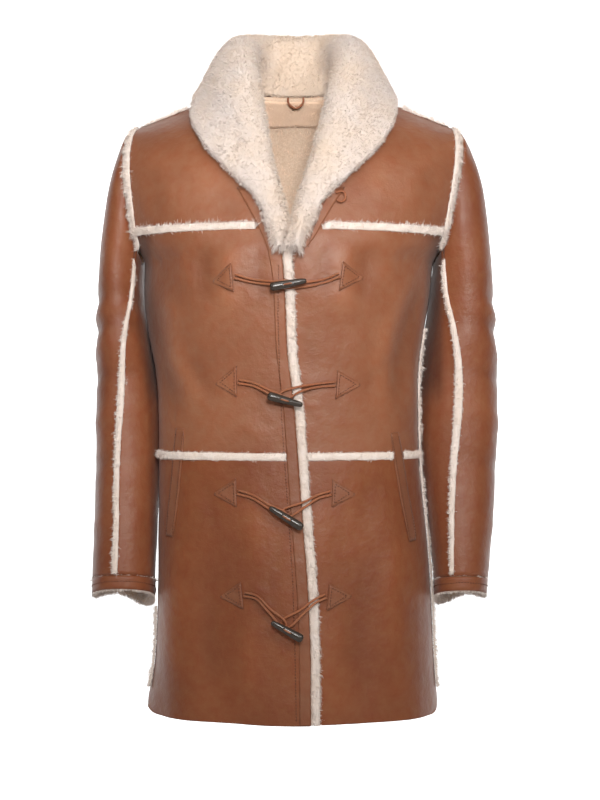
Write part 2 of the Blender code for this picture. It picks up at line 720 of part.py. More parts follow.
def edge_trim(name, side, rows, inner_t, outer_t, look, thick, lift=LIFT, profile=FLEECE_PROFILE):
    """Trim that runs up a front, between two functions of the row."""
    start = np.array([inner_t(row) for row in rows])
    end = np.array([outer_t(row) for row in rows])
    t = start[None] + (end - start)[None] * np.array([0, 0.5, 1])[:, None]
    at = np.repeat(rows[None], 3, axis=0)
    low, normal = front_surface(side, t, at), body_normals(front_surface, side, t, at)
    return trim_between(name, low, normal, look, thick, lift, profile)


def t_beyond(side, row, distance):
    """t at a distance in millimetres from the front's inner edge."""
    first = edge_t(side, row)
    at = front_bare(np.array([first]), np.array([float(row)]))[0, 0]
    return front_t(side, at + distance, row)


def t_from_side(row, distance, armhole_girth=235.0):
    """t at a distance in millimetres from the side seam or the armhole's edge."""
    return side_t(row) - distance / armhole_girth


WELTS = {
    # side: x and z of the middle of the top and of the bottom, seen square on
    -1: (-158, -485, -171, -635),
    1: (138.5, -491, 162, -641),
}
WELT_WIDE = 13.0
WELT_THICK = 1.5
BAND_WIDE = 15.0
BAND_THICK = 1.3
# row, how wide the front band is: it widens under the collar
BAND_ROWS = ((0, 15), (600, 15), (646, 19), (690, 27), (735, 36))
EDGE_FLEECE_WIDE = 13.0
EDGE_FLEECE_THICK = 5.4
ARMHOLE_FLEECE_WIDE = 10.0
ARMHOLE_CLEAR = 1.5
band_width = tidy_curve(BAND_ROWS)


def body_rows(low, high):
    """The panels' own rows between two heights, with the two heights."""
    every = np.unique(np.concatenate(list(FRONT_ROWS.values())))
    return np.concatenate([[low], every[(every > low + 4) & (every < high - 4)], [high]])


def build_bands():
    """The strip of leather that faces the front edge and runs up under the collar."""
    flat = np.array([0.8, 1.0, 0.8])
    for side, low in ((-1, 1.0), (1, NECK_V_ROW - 16.0)):
        rows = body_rows(low, BAND_ROWS[-1][0])
        name = f"front_band_{SIDE_NAME[side]}"

        def inner(row, side=side):
            return visible_edge_t(side, row) + 0.001

        def outer(row, side=side):
            return visible_edge_t(side, row, float(band_width(np.array([row]))[0, 0]))

        edge_trim(name, side, rows, inner, outer, leather(), BAND_THICK, profile=flat)


def visible_edge_t(side, row, distance=0.0):
    """t at a distance from the edge that shows: on the right half that is the top front's edge."""
    if side < 0 or row >= NECK_V_ROW:
        return t_beyond(side, row, distance)
    reach = float(past_edge(np.array([row]))[0])
    return front_t(side, reach + distance, row)


def build_front_fleece():
    side = 1
    rows = body_rows(1.0, NECK_V_ROW - 17)
    edge_trim(
        "front_edge_fleece",
        side,
        rows,
        lambda row: visible_edge_t(side, row, 0.9),
        lambda row: visible_edge_t(side, row, EDGE_FLEECE_WIDE),
        fleece(),
        EDGE_FLEECE_THICK,
    )


def build_row_fleece():
    clear = 0.8
    for side in (-1, 1):
        where = SIDE_NAME[side]
        armhole = t_from_side(YOKE_ROW, ARMHOLE_FLEECE_WIDE + ARMHOLE_CLEAR + clear)
        beside_band = float(band_width(np.array([YOKE_ROW + FLEECE_WIDE]))[0, 0]) + 2 * clear
        band = visible_edge_t(side, YOKE_ROW, beside_band)
        row_trim(f"yoke_fleece_{where}", side, YOKE_ROW, band, armhole)
    over_welt = WELT_THICK + 0.5

    def welt_x(side):
        top_x, top_z, low_x, low_z = WELTS[side]
        return top_x + (low_x - top_x) * (top_z - WAIST_ROW + HEM_DEPTH) / (top_z - low_z)

    def lift_over_welt(points):
        near = np.abs(points[..., 0] - welt_x(-1)) / WELT_WIDE
        return LIFT + over_welt * smooth_step((1.9 - near) / 0.9)

    start = visible_edge_t(-1, WAIST_ROW, BAND_WIDE + clear)
    middle = float(row_shift(np.array([WAIST_ROW]))[0, 0]) - welt_x(-1)
    over = np.array([-1.9, -1.3, -0.7, 0, 0.7, 1.3, 1.9]) * WELT_WIDE
    steps = [front_t(-1, middle + step, WAIST_ROW) for step in over]
    row_trim("waist_fleece_right", -1, WAIST_ROW, start, 0.995, lift_over_welt, steps)
    local = welt_x(1) - float(row_shift(np.array([WAIST_ROW]))[0, 0])
    start = visible_edge_t(1, WAIST_ROW, EDGE_FLEECE_WIDE + clear)
    before = front_t(1, local - WELT_WIDE / 2 - 1.6, WAIST_ROW)
    after = front_t(1, local + WELT_WIDE / 2 + 1.6, WAIST_ROW)
    row_trim("waist_fleece_left", 1, WAIST_ROW, start, before)
    end = t_from_side(WAIST_ROW, SIDE_FLEECE_IN + SIDE_FLEECE_WIDE + clear)
    row_trim("waist_fleece_left_end", 1, WAIST_ROW, after, end)


SIDE_FLEECE_IN = 4.0
SIDE_FLEECE_WIDE = 9.5


def build_upright_fleece():
    """The fleece edges of the armholes, the side seams and the shoulder seams."""
    for side in (-1, 1):
        where = SIDE_NAME[side]
        rows = np.concatenate([[657.0, YOKE_ROW], np.linspace(YOKE_ROW, SHOULDER_ROW - 6, 8)[1:]])
        edge_trim(
            f"armhole_fleece_{where}",
            side,
            rows,
            lambda row: t_from_side(row, ARMHOLE_FLEECE_WIDE + ARMHOLE_CLEAR),
            lambda row: t_from_side(row, ARMHOLE_CLEAR),
            fleece(),
            FLEECE_THICK,
        )
        low = SIDE_FLEECE_LOW[side]
        rows = body_rows(low, SIDE_FLEECE_TOP[side])
        edge_trim(
            f"side_fleece_{where}",
            side,
            rows,
            lambda row: t_from_side(row, SIDE_FLEECE_IN + SIDE_FLEECE_WIDE),
            lambda row: t_from_side(row, SIDE_FLEECE_IN),
            fleece(),
            SIDE_FLEECE_THICK[side],
        )
        shoulder_fleece(side)


SIDE_FLEECE_LOW = {-1: 36.0, 1: 36.0}
SIDE_FLEECE_TOP = {-1: 150.0, 1: 540.0}
SIDE_FLEECE_THICK = {-1: 3.4, 1: 3.0}
SHOULDER_FLEECE = (0.47, 0.93)  # shares of the shoulder seam, from under the collar to near the armhole


def shoulder_fleece(side):
    """Fleece along the shoulder seam: one edge lies on the front, the other on the back."""
    share = np.linspace(*SHOULDER_FLEECE, 7)
    back_t = NECK_T + (1 - NECK_T) * share
    half = FLEECE_WIDE / 2
    top = np.full_like(share, SHOULDER_ROW)
    low = np.stack(
        [
            front_surface(side, share, top - half),
            front_surface(side, share, top),
            back_surface(side, back_t, top - half),
        ]
    )
    normal = np.stack(
        [
            body_normals(front_surface, side, share, top - half),
            body_normals(front_surface, side, share, top),
            body_normals(back_surface, side, back_t, top - half),
        ]
    )
    thick = FLEECE_THICK * (1.05 - share)
    height = FLEECE_PROFILE[:, None] * thick[None]
    base = low + normal * (LIFT + 0.3)
    top = base + normal * height[..., None]
    add_object(f"shoulder_fleece_{SIDE_NAME[side]}", wall_mesh(top, base), fleece())


SLEEVE_FLEECE_WIDE = 9.0
SLEEVE_GIRTH = 380.0


def build_sleeve_fleece():
    half = SLEEVE_FLEECE_WIDE / 2 / SLEEVE_GIRTH
    for side in (-1, 1):
        for column, seam in enumerate(("front", "back")):
            first = SLEEVE_FLEECE_FROM if seam == "front" else 1
            levels = np.concatenate([SLEEVE_LEVELS[first:-1], [CUFF_TOP_LEVEL - 0.06]])
            middle = sleeve_seams[side](levels)[:, column]
            turn = middle[None] + half * np.array([-1, 0, 1])[:, None]
            level = np.repeat(levels[None], 3, axis=0)
            low, normal = sleeve_surface(side, turn, level), sleeve_normals(side, turn, level)
            name = f"sleeve_{seam}_fleece_{SIDE_NAME[side]}"
            trim_between(name, low, normal, fleece(), FLEECE_THICK, 1.5 * LIFT)


# ---------------------------------------------------------------- collar

# Right half, from the centre back to the V: base, roll and edge of the collar's middle line, fleece height
COLLAR_STATIONS = (
    ((0, 80, -1.5), (0, 103, 77), (0, 130, -30), 12, 3.0),
    ((38, 75, -1), (42, 95, 77), (60, 124, -30), 12, 3.0),
    ((68, 52, 2), (62, 66, 72), (110, 90, -26), 12, 3.0),
    ((84, 16, 7), (71, 26, 62), (138, 24, -10), 12, 3.0),
    ((74, -14, -12), (64, -22, 24), (141, -30, -51), 12, 3.0),
    ((60, -60, -62), (50, -78, -52), (125, -74, -95), 12, 3.0),
    ((40, -104, -125), (36, -118, -120), (86, -113, -134), 12, 3.0),
    ((14, -131, -190), (18, -146, -186), (40, -141, -179), 11, 2.4),
    ((9, -152, -216), (13, -159, -213), (29, -149, -210), 9.5, 1.5),
    ((10, -156, -240), (11, -162, -238), (21, -155.8, -243), 8, 1.2),
)
COLLAR_STEPS = 2  # finer sections between two stations
COLLAR_REST = 2.2  # the middle line stays this far above the body, and COLLAR_SHARE of the skin's thickness
COLLAR_SHARE = 1.6
COLLAR_PROFILE = (0.62, 0.82, 0.95, 1.0, 1.0, 1.0, 1.0, 1.0, 0.98, 0.9, 0.62)  # from the base to the edge


def body_cloud():
    """Points and normals all over the body, for laying the collar on it."""
    t, row = np.meshgrid(np.linspace(0, 1, 60), np.linspace(600, SHOULDER_ROW, 70))
    points, normals = [], []
    for surface in (front_surface, back_surface):
        for side in (-1, 1):
            points.append(surface(side, t, row).reshape(-1, 3))
            normals.append(body_normals(surface, side, t, row).reshape(-1, 3))
    return np.concatenate(points), np.concatenate(normals)


def collar_middle():
    """The collar's middle line at every section, from one end of the V round the neck to the other."""
    right = np.array([np.concatenate(station[:3]) for station in COLLAR_STATIONS], float)
    half = tidy_curve([(k, *values) for k, values in enumerate(right)])
    at = np.linspace(0, len(right) - 1, (len(right) - 1) * COLLAR_STEPS + 1)
    sections = half(at)
    number = np.arange(len(right))
    fleece_high, skin_thick = (
        np.interp(at, number, [station[k] for station in COLLAR_STATIONS]) for k in (3, 4)
    )
    middle = []
    for values in sections:
        base, roll, edge = values[:3], values[3:6], values[6:9]
        rise, fall = roll - base, edge - roll
        turn = rise / np.linalg.norm(rise) + fall / np.linalg.norm(fall)
        turn = turn / np.linalg.norm(turn)
        line = []
        for start, end, t0, t1, shares in (
            (base, roll, rise, turn * np.linalg.norm(rise), np.linspace(0, 1, 5)[:-1]),
            (roll, edge, turn * np.linalg.norm(fall), fall, np.linspace(0, 1, 7)),
        ):
            for s in shares:
                line.append(
                    start * (1 + 2 * s) * (1 - s) ** 2
                    + t0 * s * (1 - s) ** 2
                    + end * s * s * (3 - 2 * s)
                    - t1 * s * s * (1 - s)
                )
        middle.append(line)
    middle = np.array(middle)
    left = middle[::-1].copy()
    left[..., 0] *= -1
    whole = np.concatenate([left, middle[1:]])
    high, thick = (np.concatenate([half[::-1], half[1:]]) for half in (fleece_high, skin_thick))
    row = np.clip(whole[..., 2] + HEM_DEPTH, 0, SHOULDER_ROW)
    whole[..., 0] += row_shift(row)[..., 0]
    return whole, high, thick


def lay_on_body(points, above):
    """Moves out each point that lies nearer to the body than its own distance in above."""
    cloud, normals = body_cloud()
    moved = points.copy()
    flat = moved.reshape(-1, 3)
    for k, (point, least) in enumerate(zip(flat, above.reshape(-1))):
        offset = point - cloud
        distance = np.einsum("ij,ij->i", offset, offset)
        nearest = int(np.argmin(distance))
        height = float(offset[nearest] @ normals[nearest])
        beside = math.sqrt(max(distance[nearest] - height * height, 0))
        if height < least and beside < 3.0:
            flat[k] = point + normals[nearest] * (least - height)
    return moved


def build_collar():
    middle, high, thick = collar_middle()
    above = np.repeat((COLLAR_REST + COLLAR_SHARE * thick)[:, None], middle.shape[1] - 5, axis=1)
    middle[:, 5:] = lay_on_body(middle[:, 5:], above)
    normal = grid_normals(middle)
    if normal[len(normal) // 2, 4, 2] < 0:
        normal = -normal
    profile = np.array(COLLAR_PROFILE)
    top = middle + normal * (high[:, None] * profile[None])[..., None]
    add_object("collar_fleece", wall_mesh(top, middle), fleece())
    under = middle - normal * thick[:, None, None]
    add_object("collar_skin", wall_mesh(middle - normal * 0.4, under), leather())


# ---------------------------------------------------------------- pockets, toggles and loops


def place_on_front(side, x, z):
    """The (t, row) of a front where it is seen square on at x and z."""
    row = z + HEM_DEPTH
    for _ in range(6):
        outward = side * (x - float(row_shift(np.array([row]))[0, 0]))
        t = front_t(side, outward, row)
        at = front_surface(side, np.array([t]), np.array([row]))[0]
        row += z - at[2]
    return t, row


def on_front(side, x, z, lift=0.0):
    """A point of a front's leather side moved out by lift, in millimetres."""
    t, row = place_on_front(side, x, z)
    t, row = np.array([t]), np.array([row])
    return (front_surface(side, t, row) + body_normals(front_surface, side, t, row) * lift)[0]


def flat_piece(name, side, corners, look, lift, thick):
    """A thin piece on a front, from a grid of (x, z) places."""
    low = np.array([[on_front(side, x, z, lift) for x, z in row] for row in corners])
    high = np.array([[on_front(side, x, z, lift + thick) for x, z in row] for row in corners])
    return add_object(name, wall_mesh(high, low), look)


def build_welts():
    for side, (top_x, top_z, low_x, low_z) in WELTS.items():
        along = np.linspace(0, 1, 8)
        run = np.array([low_x - top_x, low_z - top_z])
        across = np.array([-run[1], run[0]]) / np.linalg.norm(run)
        grid = []
        for share in along:
            middle = np.array([top_x, top_z]) + run * share
            half = WELT_WIDE / 2 * (0.8 if share in (0, 1) else 1)
            grid.append([middle - across * half, middle, middle + across * half])
        flat_piece(f"pocket_welt_{SIDE_NAME[side]}", side, grid, leather(), LIFT, WELT_THICK)


PATCH_THICK = 1.4
# side, number from the top, lift, apex x and z, and the x and z of the two corners by the cord
PATCHES = (
    (-1, 1, 0.85, -112, -285, -83, -260, -80.5, -298.5),
    (1, 1, 0.85, 96.5, -279.5, 64.5, -257.5, 59.5, -297),
    (-1, 2, 0.85, -109, -423.5, -78.5, -399, -78, -442),
    (1, 2, 0.85, 92.5, -425, 59.5, -405, 56.5, -445),
    (-1, 3, 0.85, -112, -575, -79.5, -553.5, -78.5, -592.5),
    (1, 3, 0.85, 84.5, -575.5, 52.5, -554.5, 51.5, -593),
    (-1, 4, 1.15, -104, -715.5, -72.5, -694.5, -68.5, -731),
    (1, 4, 0.85, 81, -714, 48, -696, 44.5, -733),
)


def build_patches():
    for side, number, lift, *places in PATCHES:
        apex, high, low = np.array(places, float).reshape(3, 2)
        grid = []
        for share in (0.06, 0.4, 0.7, 1.0):
            upper, lower = apex + (high - apex) * share, apex + (low - apex) * share
            grid.append([upper, (upper + lower) / 2, lower])
        flat_piece(f"patch_{number}_{SIDE_NAME[side]}", side, grid, leather(), lift, PATCH_THICK)


# number, x and z of the thick end, x and z of the tip, how far its back stands off the leather
TOGGLES = (
    (1, -32.7, -293.5, 16.5, -284.5, 9.3),
    (2, -36.0, -440.0, 11.5, -453.0, 9.0),
    (3, 11.5, -619.5, -33.5, -591.5, 8.7),
    (4, 11.5, -770.0, -31.0, -746.5, 9.0),
)
TOGGLE_THICK_END = 7.2
TOGGLE_TIP = 4.2
TOGGLE_FLAT = 0.78  # a toggle is an oval slice of horn
TOGGLE_SIDES = 10
# share of a toggle's length, share of its radius there
TOGGLE_ROUNDING = (
    (0, 0.45), (0.03, 0.82), (0.1, 1.0), (0.4, 1.0), (0.7, 1.0), (0.92, 0.95), (0.98, 0.72), (1, 0.4),
)


def toggle_ends(number):
    """A toggle's two ends: its back lies level, so its thick end's middle stands further off."""
    _, x0, z0, x1, z1, clear = TOGGLES[number - 1]
    base = on_front(-1, min((x0 + x1) / 2, -14.0), (z0 + z1) / 2)[1] - clear
    start = np.array([x0, base - TOGGLE_THICK_END * TOGGLE_FLAT, z0])
    end = np.array([x1, base - TOGGLE_TIP * TOGGLE_FLAT, z1])
    return start, end


def build_toggles():
    for number, *_ in TOGGLES:
        start, end = toggle_ends(number)
        axis = (end - start) / np.linalg.norm(end - start)
        beside = np.cross(axis, (0, -1, 0))
        beside = beside / np.linalg.norm(beside)
        ahead = np.cross(beside, axis)
        bm = bmesh.new()
        rings = []
        for share, swell in TOGGLE_ROUNDING:
            radius = (TOGGLE_THICK_END + (TOGGLE_TIP - TOGGLE_THICK_END) * share) * swell
            centre = start + (end - start) * share
            ring = []
            for k in range(TOGGLE_SIDES):
                angle = 2 * math.pi * k / TOGGLE_SIDES
                round_it = beside * math.cos(angle) + ahead * TOGGLE_FLAT * math.sin(angle)
                ring.append(bm.verts.new((centre + round_it * radius) * MM))
            rings.append(ring)
        for first, second in zip(rings, rings[1:]):
            for k in range(TOGGLE_SIDES):
                n = (k + 1) % TOGGLE_SIDES
                bm.faces.new((first[k], first[n], second[n], second[k]))
        bm.faces.new(rings[0])
        bm.faces.new(rings[-1])
        add_object(f"toggle_{number}", bm, horn())


def tube(name, points, radius, look, sides_resolution=1):
    """A round cord through points in millimetres, as a curve with a bevel and filled caps."""
    curve = bpy.data.curves.new(name, "CURVE")
    curve.dimensions = "3D"
    curve.bevel_depth = radius * MM
    curve.bevel_resolution = sides_resolution
    curve.use_fill_caps = True
    spline = curve.splines.new("POLY")
    spline.points.add(len(points) - 1)
    for target, point in zip(spline.points, points):
        target.co = (*(np.asarray(point) * MM), 1)
    curve.materials.append(look)
    made = bpy.data.objects.new(name, curve)
    bpy.context.scene.collection.objects.link(made)
    return made


def smooth_route(points, count):
    """Evenly spread points of a smooth curve through the route's own points."""
    points = np.array(points, float)
    length = np.concatenate([[0], np.cumsum(np.linalg.norm(np.diff(points, axis=0), axis=1))])
    curve = tidy_curve(np.column_stack([length, points]))
    return curve(np.linspace(0, length[-1], count))


THONG_RADIUS = 1.5
# side, number, x and z of the cord's way from its patch to the toggle
THONG_ROUTES = (
    (-1, 1, ((-80, -278), (-58, -284), (-34, -287), (-15, -288))),
    (1, 1, ((60.5, -276), (42, -284), (14, -289), (-17, -289))),
    (-1, 2, ((-76, -421), (-58, -424), (-36, -434), (-16, -443))),
    (1, 2, ((56, -424), (34, -426), (8, -431), (-18, -442))),
    (-1, 3, ((-77, -572), (-58, -577), (-34, -591), (-12, -601))),
    (1, 3, ((50, -573), (34, -577), (14, -588), (-14, -601))),
    (-1, 4, ((-68, -711), (-54, -713), (-34, -731), (-12, -752))),
    (1, 4, ((43, -713), (30, -718), (10, -734), (-14, -751))),
)
# how far the middle of a loop's strands lies from the leather at each of its four places
THONG_LIFTS = {-1: (2.4, 2.8, 7.2, 7.6), 1: (2.4, 2.8, 4.1, 4.1)}
THONG_SPREAD = {-1: (2.6, 2.1, 2.1, 2.1), 1: (2.6, 2.2, 3.2, 5.6)}  # half the distance between the strands


def ground_y(x, z):
    """y of what a thong lies on: the top front and its band, the fleece beside it, or the front below."""
    row = np.array([z + HEM_DEPTH])
    edge = float(past_edge(row)[0] + row_shift(row)[0, 0])
    if x < edge - BAND_WIDE - 3:
        return on_front(-1, x, z)[1]
    if x < edge + EDGE_FLEECE_WIDE + 4:
        return on_front(-1, min(x, edge - 1), z)[1]
    return on_front(1, x, z)[1]


def build_thongs():
    """Each thong is one loop: two strands side by side, joined by a turn behind the toggle."""
    for side, number, way in THONG_ROUTES:
        way = np.array(way, float)
        heading = np.gradient(way, axis=0)
        across = np.column_stack([-heading[:, 1], heading[:, 0]])
        across /= np.linalg.norm(across, axis=1, keepdims=True)
        height = [ground_y(x, z) - lift for (x, z), lift in zip(way, THONG_LIFTS[side])]
        strands = []
        for sign in (1, -1):
            places = way + sign * across * np.array(THONG_SPREAD[side])[:, None]
            strands.append([(x, y, z) for (x, z), y in zip(places, height)])
        ahead = way[-1] - way[-2]
        turn = way[-1] + ahead / np.linalg.norm(ahead) * THONG_SPREAD[side][-1]
        route = strands[0] + [(turn[0], height[-1], turn[1])] + strands[1][::-1]
        tube(f"thong_{number}_{SIDE_NAME[side]}", smooth_route(route, 25), THONG_RADIUS, thong())


LOOP_RADIUS = 1.5
HANGER_LOOP = (
    (-9.5, 71.6, -4), (-9.8, 71, -8), (-6.5, 71.5, -15), (1.6, 73, -19),
    (9.7, 71.5, -15), (13, 71, -8), (12.7, 71.6, -4),
)
# x, z and height over the leather
THROAT_LOOP = (
    (57, -164, 3.6), (62, -161, 3.6), (69, -163, 3.2), (70, -170, 2.8), (64, -176, 2.8), (58, -174, 3.6),
)


def build_loops():
    """The hanger loop inside the back of the neck and the loop under the collar's left edge."""
    tube("hanger_loop", smooth_route(HANGER_LOOP, 15), LOOP_RADIUS, thong())
    route = [on_front(1, x, z, lift) for x, z, lift in THROAT_LOOP]
    tube("throat_loop", smooth_route(route, 12), LOOP_RADIUS, thong())


FACING_THICK = 1.2
FACING_OFF = 0.9
FACING_ROWS = (850.0, 876.0, 896.0)


def build_neck_facing():
    rows = np.array(FACING_ROWS)
    half = np.linspace(0, 0.5, 5)
    t = np.repeat(half[None], len(rows), axis=0)
    row = np.repeat(rows[:, None], len(half), axis=1)
    layers = []
    for depth in (WALL + FACING_OFF, WALL + FACING_OFF + FACING_THICK):
        left, right = (
            back_surface(side, t, row) - body_normals(back_surface, side, t, row) * depth for side in (-1, 1)
        )
        layers.append(np.concatenate([left[:, ::-1], right[:, 1:]], axis=1))
    add_object("back_neck_facing", wall_mesh(*layers), material("suede", (0.62, 0.46, 0.30), 0.9))


def clear_scene():
    for old in list(bpy.data.objects):
        bpy.data.objects.remove(old, do_unlink=True)


def main():
    clear_scene()
    build_fronts()
    build_back()
    build_sleeves()
    build_bands()
    build_front_fleece()
    build_row_fleece()
    build_upright_fleece()
    build_sleeve_fleece()
    build_collar()
    build_welts()
    build_patches()
    build_toggles()
    build_thongs()
    build_loops()
    build_neck_facing()


if __name__ == "__main__":
    main()
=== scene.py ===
"""Dresses the shearling coat: leather with a fine grain, curly fleece, horn toggles, thongs and stitching.

Run as a script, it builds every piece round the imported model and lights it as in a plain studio. Places and
sizes on the coat are in millimetres, as seen square on from the front, where nothing else is said; those of
the wool, the thongs and the stage are in metres.
"""

import json
import math

import bmesh
import bpy
import numpy as np
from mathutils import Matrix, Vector, noise
from mathutils.bvhtree import BVHTree
from mathutils.kdtree import KDTree

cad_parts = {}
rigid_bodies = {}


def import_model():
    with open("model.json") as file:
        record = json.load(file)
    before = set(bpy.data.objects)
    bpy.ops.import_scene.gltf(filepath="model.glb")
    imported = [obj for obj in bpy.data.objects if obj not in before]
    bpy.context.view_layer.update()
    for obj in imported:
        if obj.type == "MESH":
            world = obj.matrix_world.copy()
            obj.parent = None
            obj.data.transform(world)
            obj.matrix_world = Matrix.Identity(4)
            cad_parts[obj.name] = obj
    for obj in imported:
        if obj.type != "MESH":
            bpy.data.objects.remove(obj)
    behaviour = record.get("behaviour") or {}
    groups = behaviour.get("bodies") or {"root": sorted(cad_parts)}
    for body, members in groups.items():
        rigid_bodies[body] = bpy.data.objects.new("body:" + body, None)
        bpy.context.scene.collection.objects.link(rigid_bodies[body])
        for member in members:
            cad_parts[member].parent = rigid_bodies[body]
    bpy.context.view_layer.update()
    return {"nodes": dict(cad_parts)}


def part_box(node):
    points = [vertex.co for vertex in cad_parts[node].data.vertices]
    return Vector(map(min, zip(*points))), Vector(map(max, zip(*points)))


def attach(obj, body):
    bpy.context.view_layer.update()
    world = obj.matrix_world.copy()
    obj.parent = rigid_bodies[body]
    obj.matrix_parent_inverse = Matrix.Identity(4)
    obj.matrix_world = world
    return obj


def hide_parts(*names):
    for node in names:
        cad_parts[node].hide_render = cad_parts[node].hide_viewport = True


bl_info = {
    "name": "Shearling coat",
    "version": (1, 0, 0),
    "blender": (4, 5, 0),
    "location": "View3D > Sidebar > Coat",
    "description": "Builds a shearling coat with a shawl collar, toggles and raw fleece seam edges",
    "category": "Object",
}

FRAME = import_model()

MM = 0.001
WELD = 2e-6
SIDES = {"right": -1, "left": 1}  # the wearer's own side
LEATHER_SHOWS = (0.70, 0.82)  # share of a wall's thickness where pile turns into leather


# ---------------------------------------------------------------- settings

COLOUR = {"subtype": "COLOR", "size": 3, "min": 0, "max": 1}  # what the colour settings share
LENGTH = {"subtype": "DISTANCE", "unit": "LENGTH"}  # what the length settings share


class LeatherSettings(bpy.types.PropertyGroup):
    colour: bpy.props.FloatVectorProperty(
        name="Leather", description="Tan leather in full light", default=(0.378, 0.178, 0.094), **COLOUR
    )
    shade: bpy.props.FloatVectorProperty(
        name="Leather shade", description="Deeper patches of hide", default=(0.298, 0.13, 0.065), **COLOUR
    )
    grain: bpy.props.FloatProperty(
        name="Grain size",
        description="Width of a pebble of the grain",
        default=0.0016,
        min=0.0002,
        max=0.01,
        **LENGTH,
    )
    roughness: bpy.props.FloatProperty(
        name="Roughness", description="How matt the leather is", default=0.44, min=0, max=1
    )


class FleeceSettings(bpy.types.PropertyGroup):
    colour: bpy.props.FloatVectorProperty(
        name="Fleece", description="Colour of the wool's tips", default=(0.89, 0.80, 0.74), **COLOUR
    )
    collar: bpy.props.FloatVectorProperty(
        name="Collar fleece", description="The collar's palest wool", default=(0.72, 0.635, 0.59), **COLOUR
    )
    warm: bpy.props.FloatVectorProperty(
        name="Warm fleece", description="Warmer patches of the collar", default=(0.75, 0.61, 0.49), **COLOUR
    )
    root: bpy.props.FloatVectorProperty(
        name="Fleece root", description="The wool near the hide", default=(0.70, 0.56, 0.45), **COLOUR
    )
    collar_blades: bpy.props.IntProperty(
        name="Collar locks", description="Locks of wool on the collar", default=60000, min=1000, max=65000
    )
    collar_length: bpy.props.FloatProperty(
        name="Collar wool",
        description="Length of the collar's wool",
        default=0.005,
        min=0.002,
        max=0.03,
        **LENGTH,
    )
    seam_length: bpy.props.FloatProperty(
        name="Seam wool",
        description="Length of the wool at the raw seam edges",
        default=0.0048,
        min=0.001,
        max=0.02,
        **LENGTH,
    )


class TrimSettings(bpy.types.PropertyGroup):
    thong: bpy.props.FloatVectorProperty(
        name="Thong", description="Rolled leather of the thongs", default=(0.45, 0.195, 0.09), **COLOUR
    )
    thread: bpy.props.FloatVectorProperty(
        name="Thread", description="Colour of the sewing thread", default=(0.10, 0.032, 0.014), **COLOUR
    )
    horn: bpy.props.FloatVectorProperty(
        name="Horn", description="Colour of the toggles", default=(0.018, 0.012, 0.010), **COLOUR
    )
    stitch: bpy.props.FloatProperty(
        name="Stitch", description="Length of one stitch", default=0.003, min=0.001, max=0.01, **LENGTH
    )
    stitch_gap: bpy.props.FloatProperty(
        name="Stitch gap", description="Between two stitches", default=0.0011, min=0.0002, max=0.01, **LENGTH
    )


class StageSettings(bpy.types.PropertyGroup):
    floor: bpy.props.FloatVectorProperty(
        name="Floor", description="Colour of the floor", default=(0.9, 0.9, 0.9), **COLOUR
    )
    key: bpy.props.FloatProperty(
        name="Softboxes", description="Power of the stronger softbox beside the camera", default=19.0, min=0
    )
    top: bpy.props.FloatProperty(
        name="Top light", description="Power of the light above the camera", default=9.0, min=0
    )
    front: bpy.props.FloatProperty(
        name="Front light", description="Power of the light by the camera", default=6.0, min=0
    )
    camera_distance: bpy.props.FloatProperty(
        name="Camera distance", description="From the coat to the camera", default=3.0, min=0.5, **LENGTH
    )
    view_height: bpy.props.FloatProperty(
        name="View height", description="Height that the picture takes in", default=1.144, min=0.1, **LENGTH
    )


# ---------------------------------------------------------------- creases and cuts

# Creases of the fronts, over the folds that the panels have: x and z at both ends, half width, height
FRONT_CREASES = (
    (-80, -218, -86, -345, 15, 3.4),
    (-120, -222, -116, -325, 13, -2.6),
    (-44, -226, -42, -318, 10, -2.0),
    (-150, -224, -142, -300, 13, 2.0),
    (-204, -282, -150, -492, 15, -4.2),
    (-176, -276, -122, -476, 15, 3.4),
    (-158, -372, -96, -452, 10, -1.5),
    (-190, -300, -150, -338, 10, 1.6),
    (-66, -448, -26, -486, 6, -1.0),
    (-74, -466, -32, -506, 6, 0.9),
    (-56, -432, -20, -460, 5, -0.9),
    (-60, -330, -18, -350, 7, 0.8),
    (-122, -540, -96, -640, 14, -1.6),
    (-50, -548, -42, -700, 15, 1.6),
    (-20, -620, -14, -790, 10, -1.1),
    (-150, -600, -158, -884, 18, 2.4),
    (-104, -640, -98, -888, 17, -2.2),
    (-56, -720, -50, -890, 16, 1.8),
    (72, -216, 76, -340, 14, 3.4),
    (48, -222, 48, -312, 9, -2.0),
    (104, -220, 100, -326, 13, -2.6),
    (140, -222, 130, -300, 13, 2.0),
    (198, -244, 140, -486, 15, -4.4),
    (170, -244, 116, -470, 15, 3.4),
    (150, -372, 92, -448, 10, -1.5),
    (28, -318, 26, -420, 9, -1.3),
    (30, -450, 62, -492, 6, 0.9),
    (116, -540, 94, -640, 14, -1.6),
    (48, -560, 44, -690, 14, 1.5),
    (150, -590, 156, -884, 18, 2.4),
    (98, -650, 104, -888, 17, -2.0),
    (58, -730, 62, -890, 16, 1.7),
    (-152, -92, -96, -176, 20, 1.8),
    (-120, -150, -70, -200, 14, -1.3),
    (150, -90, 98, -178, 20, 1.7),
    (-200, -110, -180, -196, 13, -1.6),
    (200, -104, 182, -196, 13, -1.6),
)
# Creases of the back: the same, seen from behind
BACK_CREASES = (
    (-150, -150, -96, -300, 18, -3.0),
    (150, -150, 92, -300, 18, -3.0),
    (-60, -240, -66, -420, 20, 2.4),
    (64, -240, 60, -430, 20, 2.6),
    (-168, -300, -120, -470, 15, -3.0),
    (160, -300, 112, -470, 15, -3.0),
    (-20, -330, -100, -372, 12, -1.4),
    (24, -352, 104, -380, 12, -1.3),
    (-110, -560, -122, -880, 20, 2.6),
    (104, -560, 116, -880, 20, 2.6),
    (-40, -600, -46, -884, 18, -2.0),
    (44, -620, 48, -884, 18, -2.2),
)
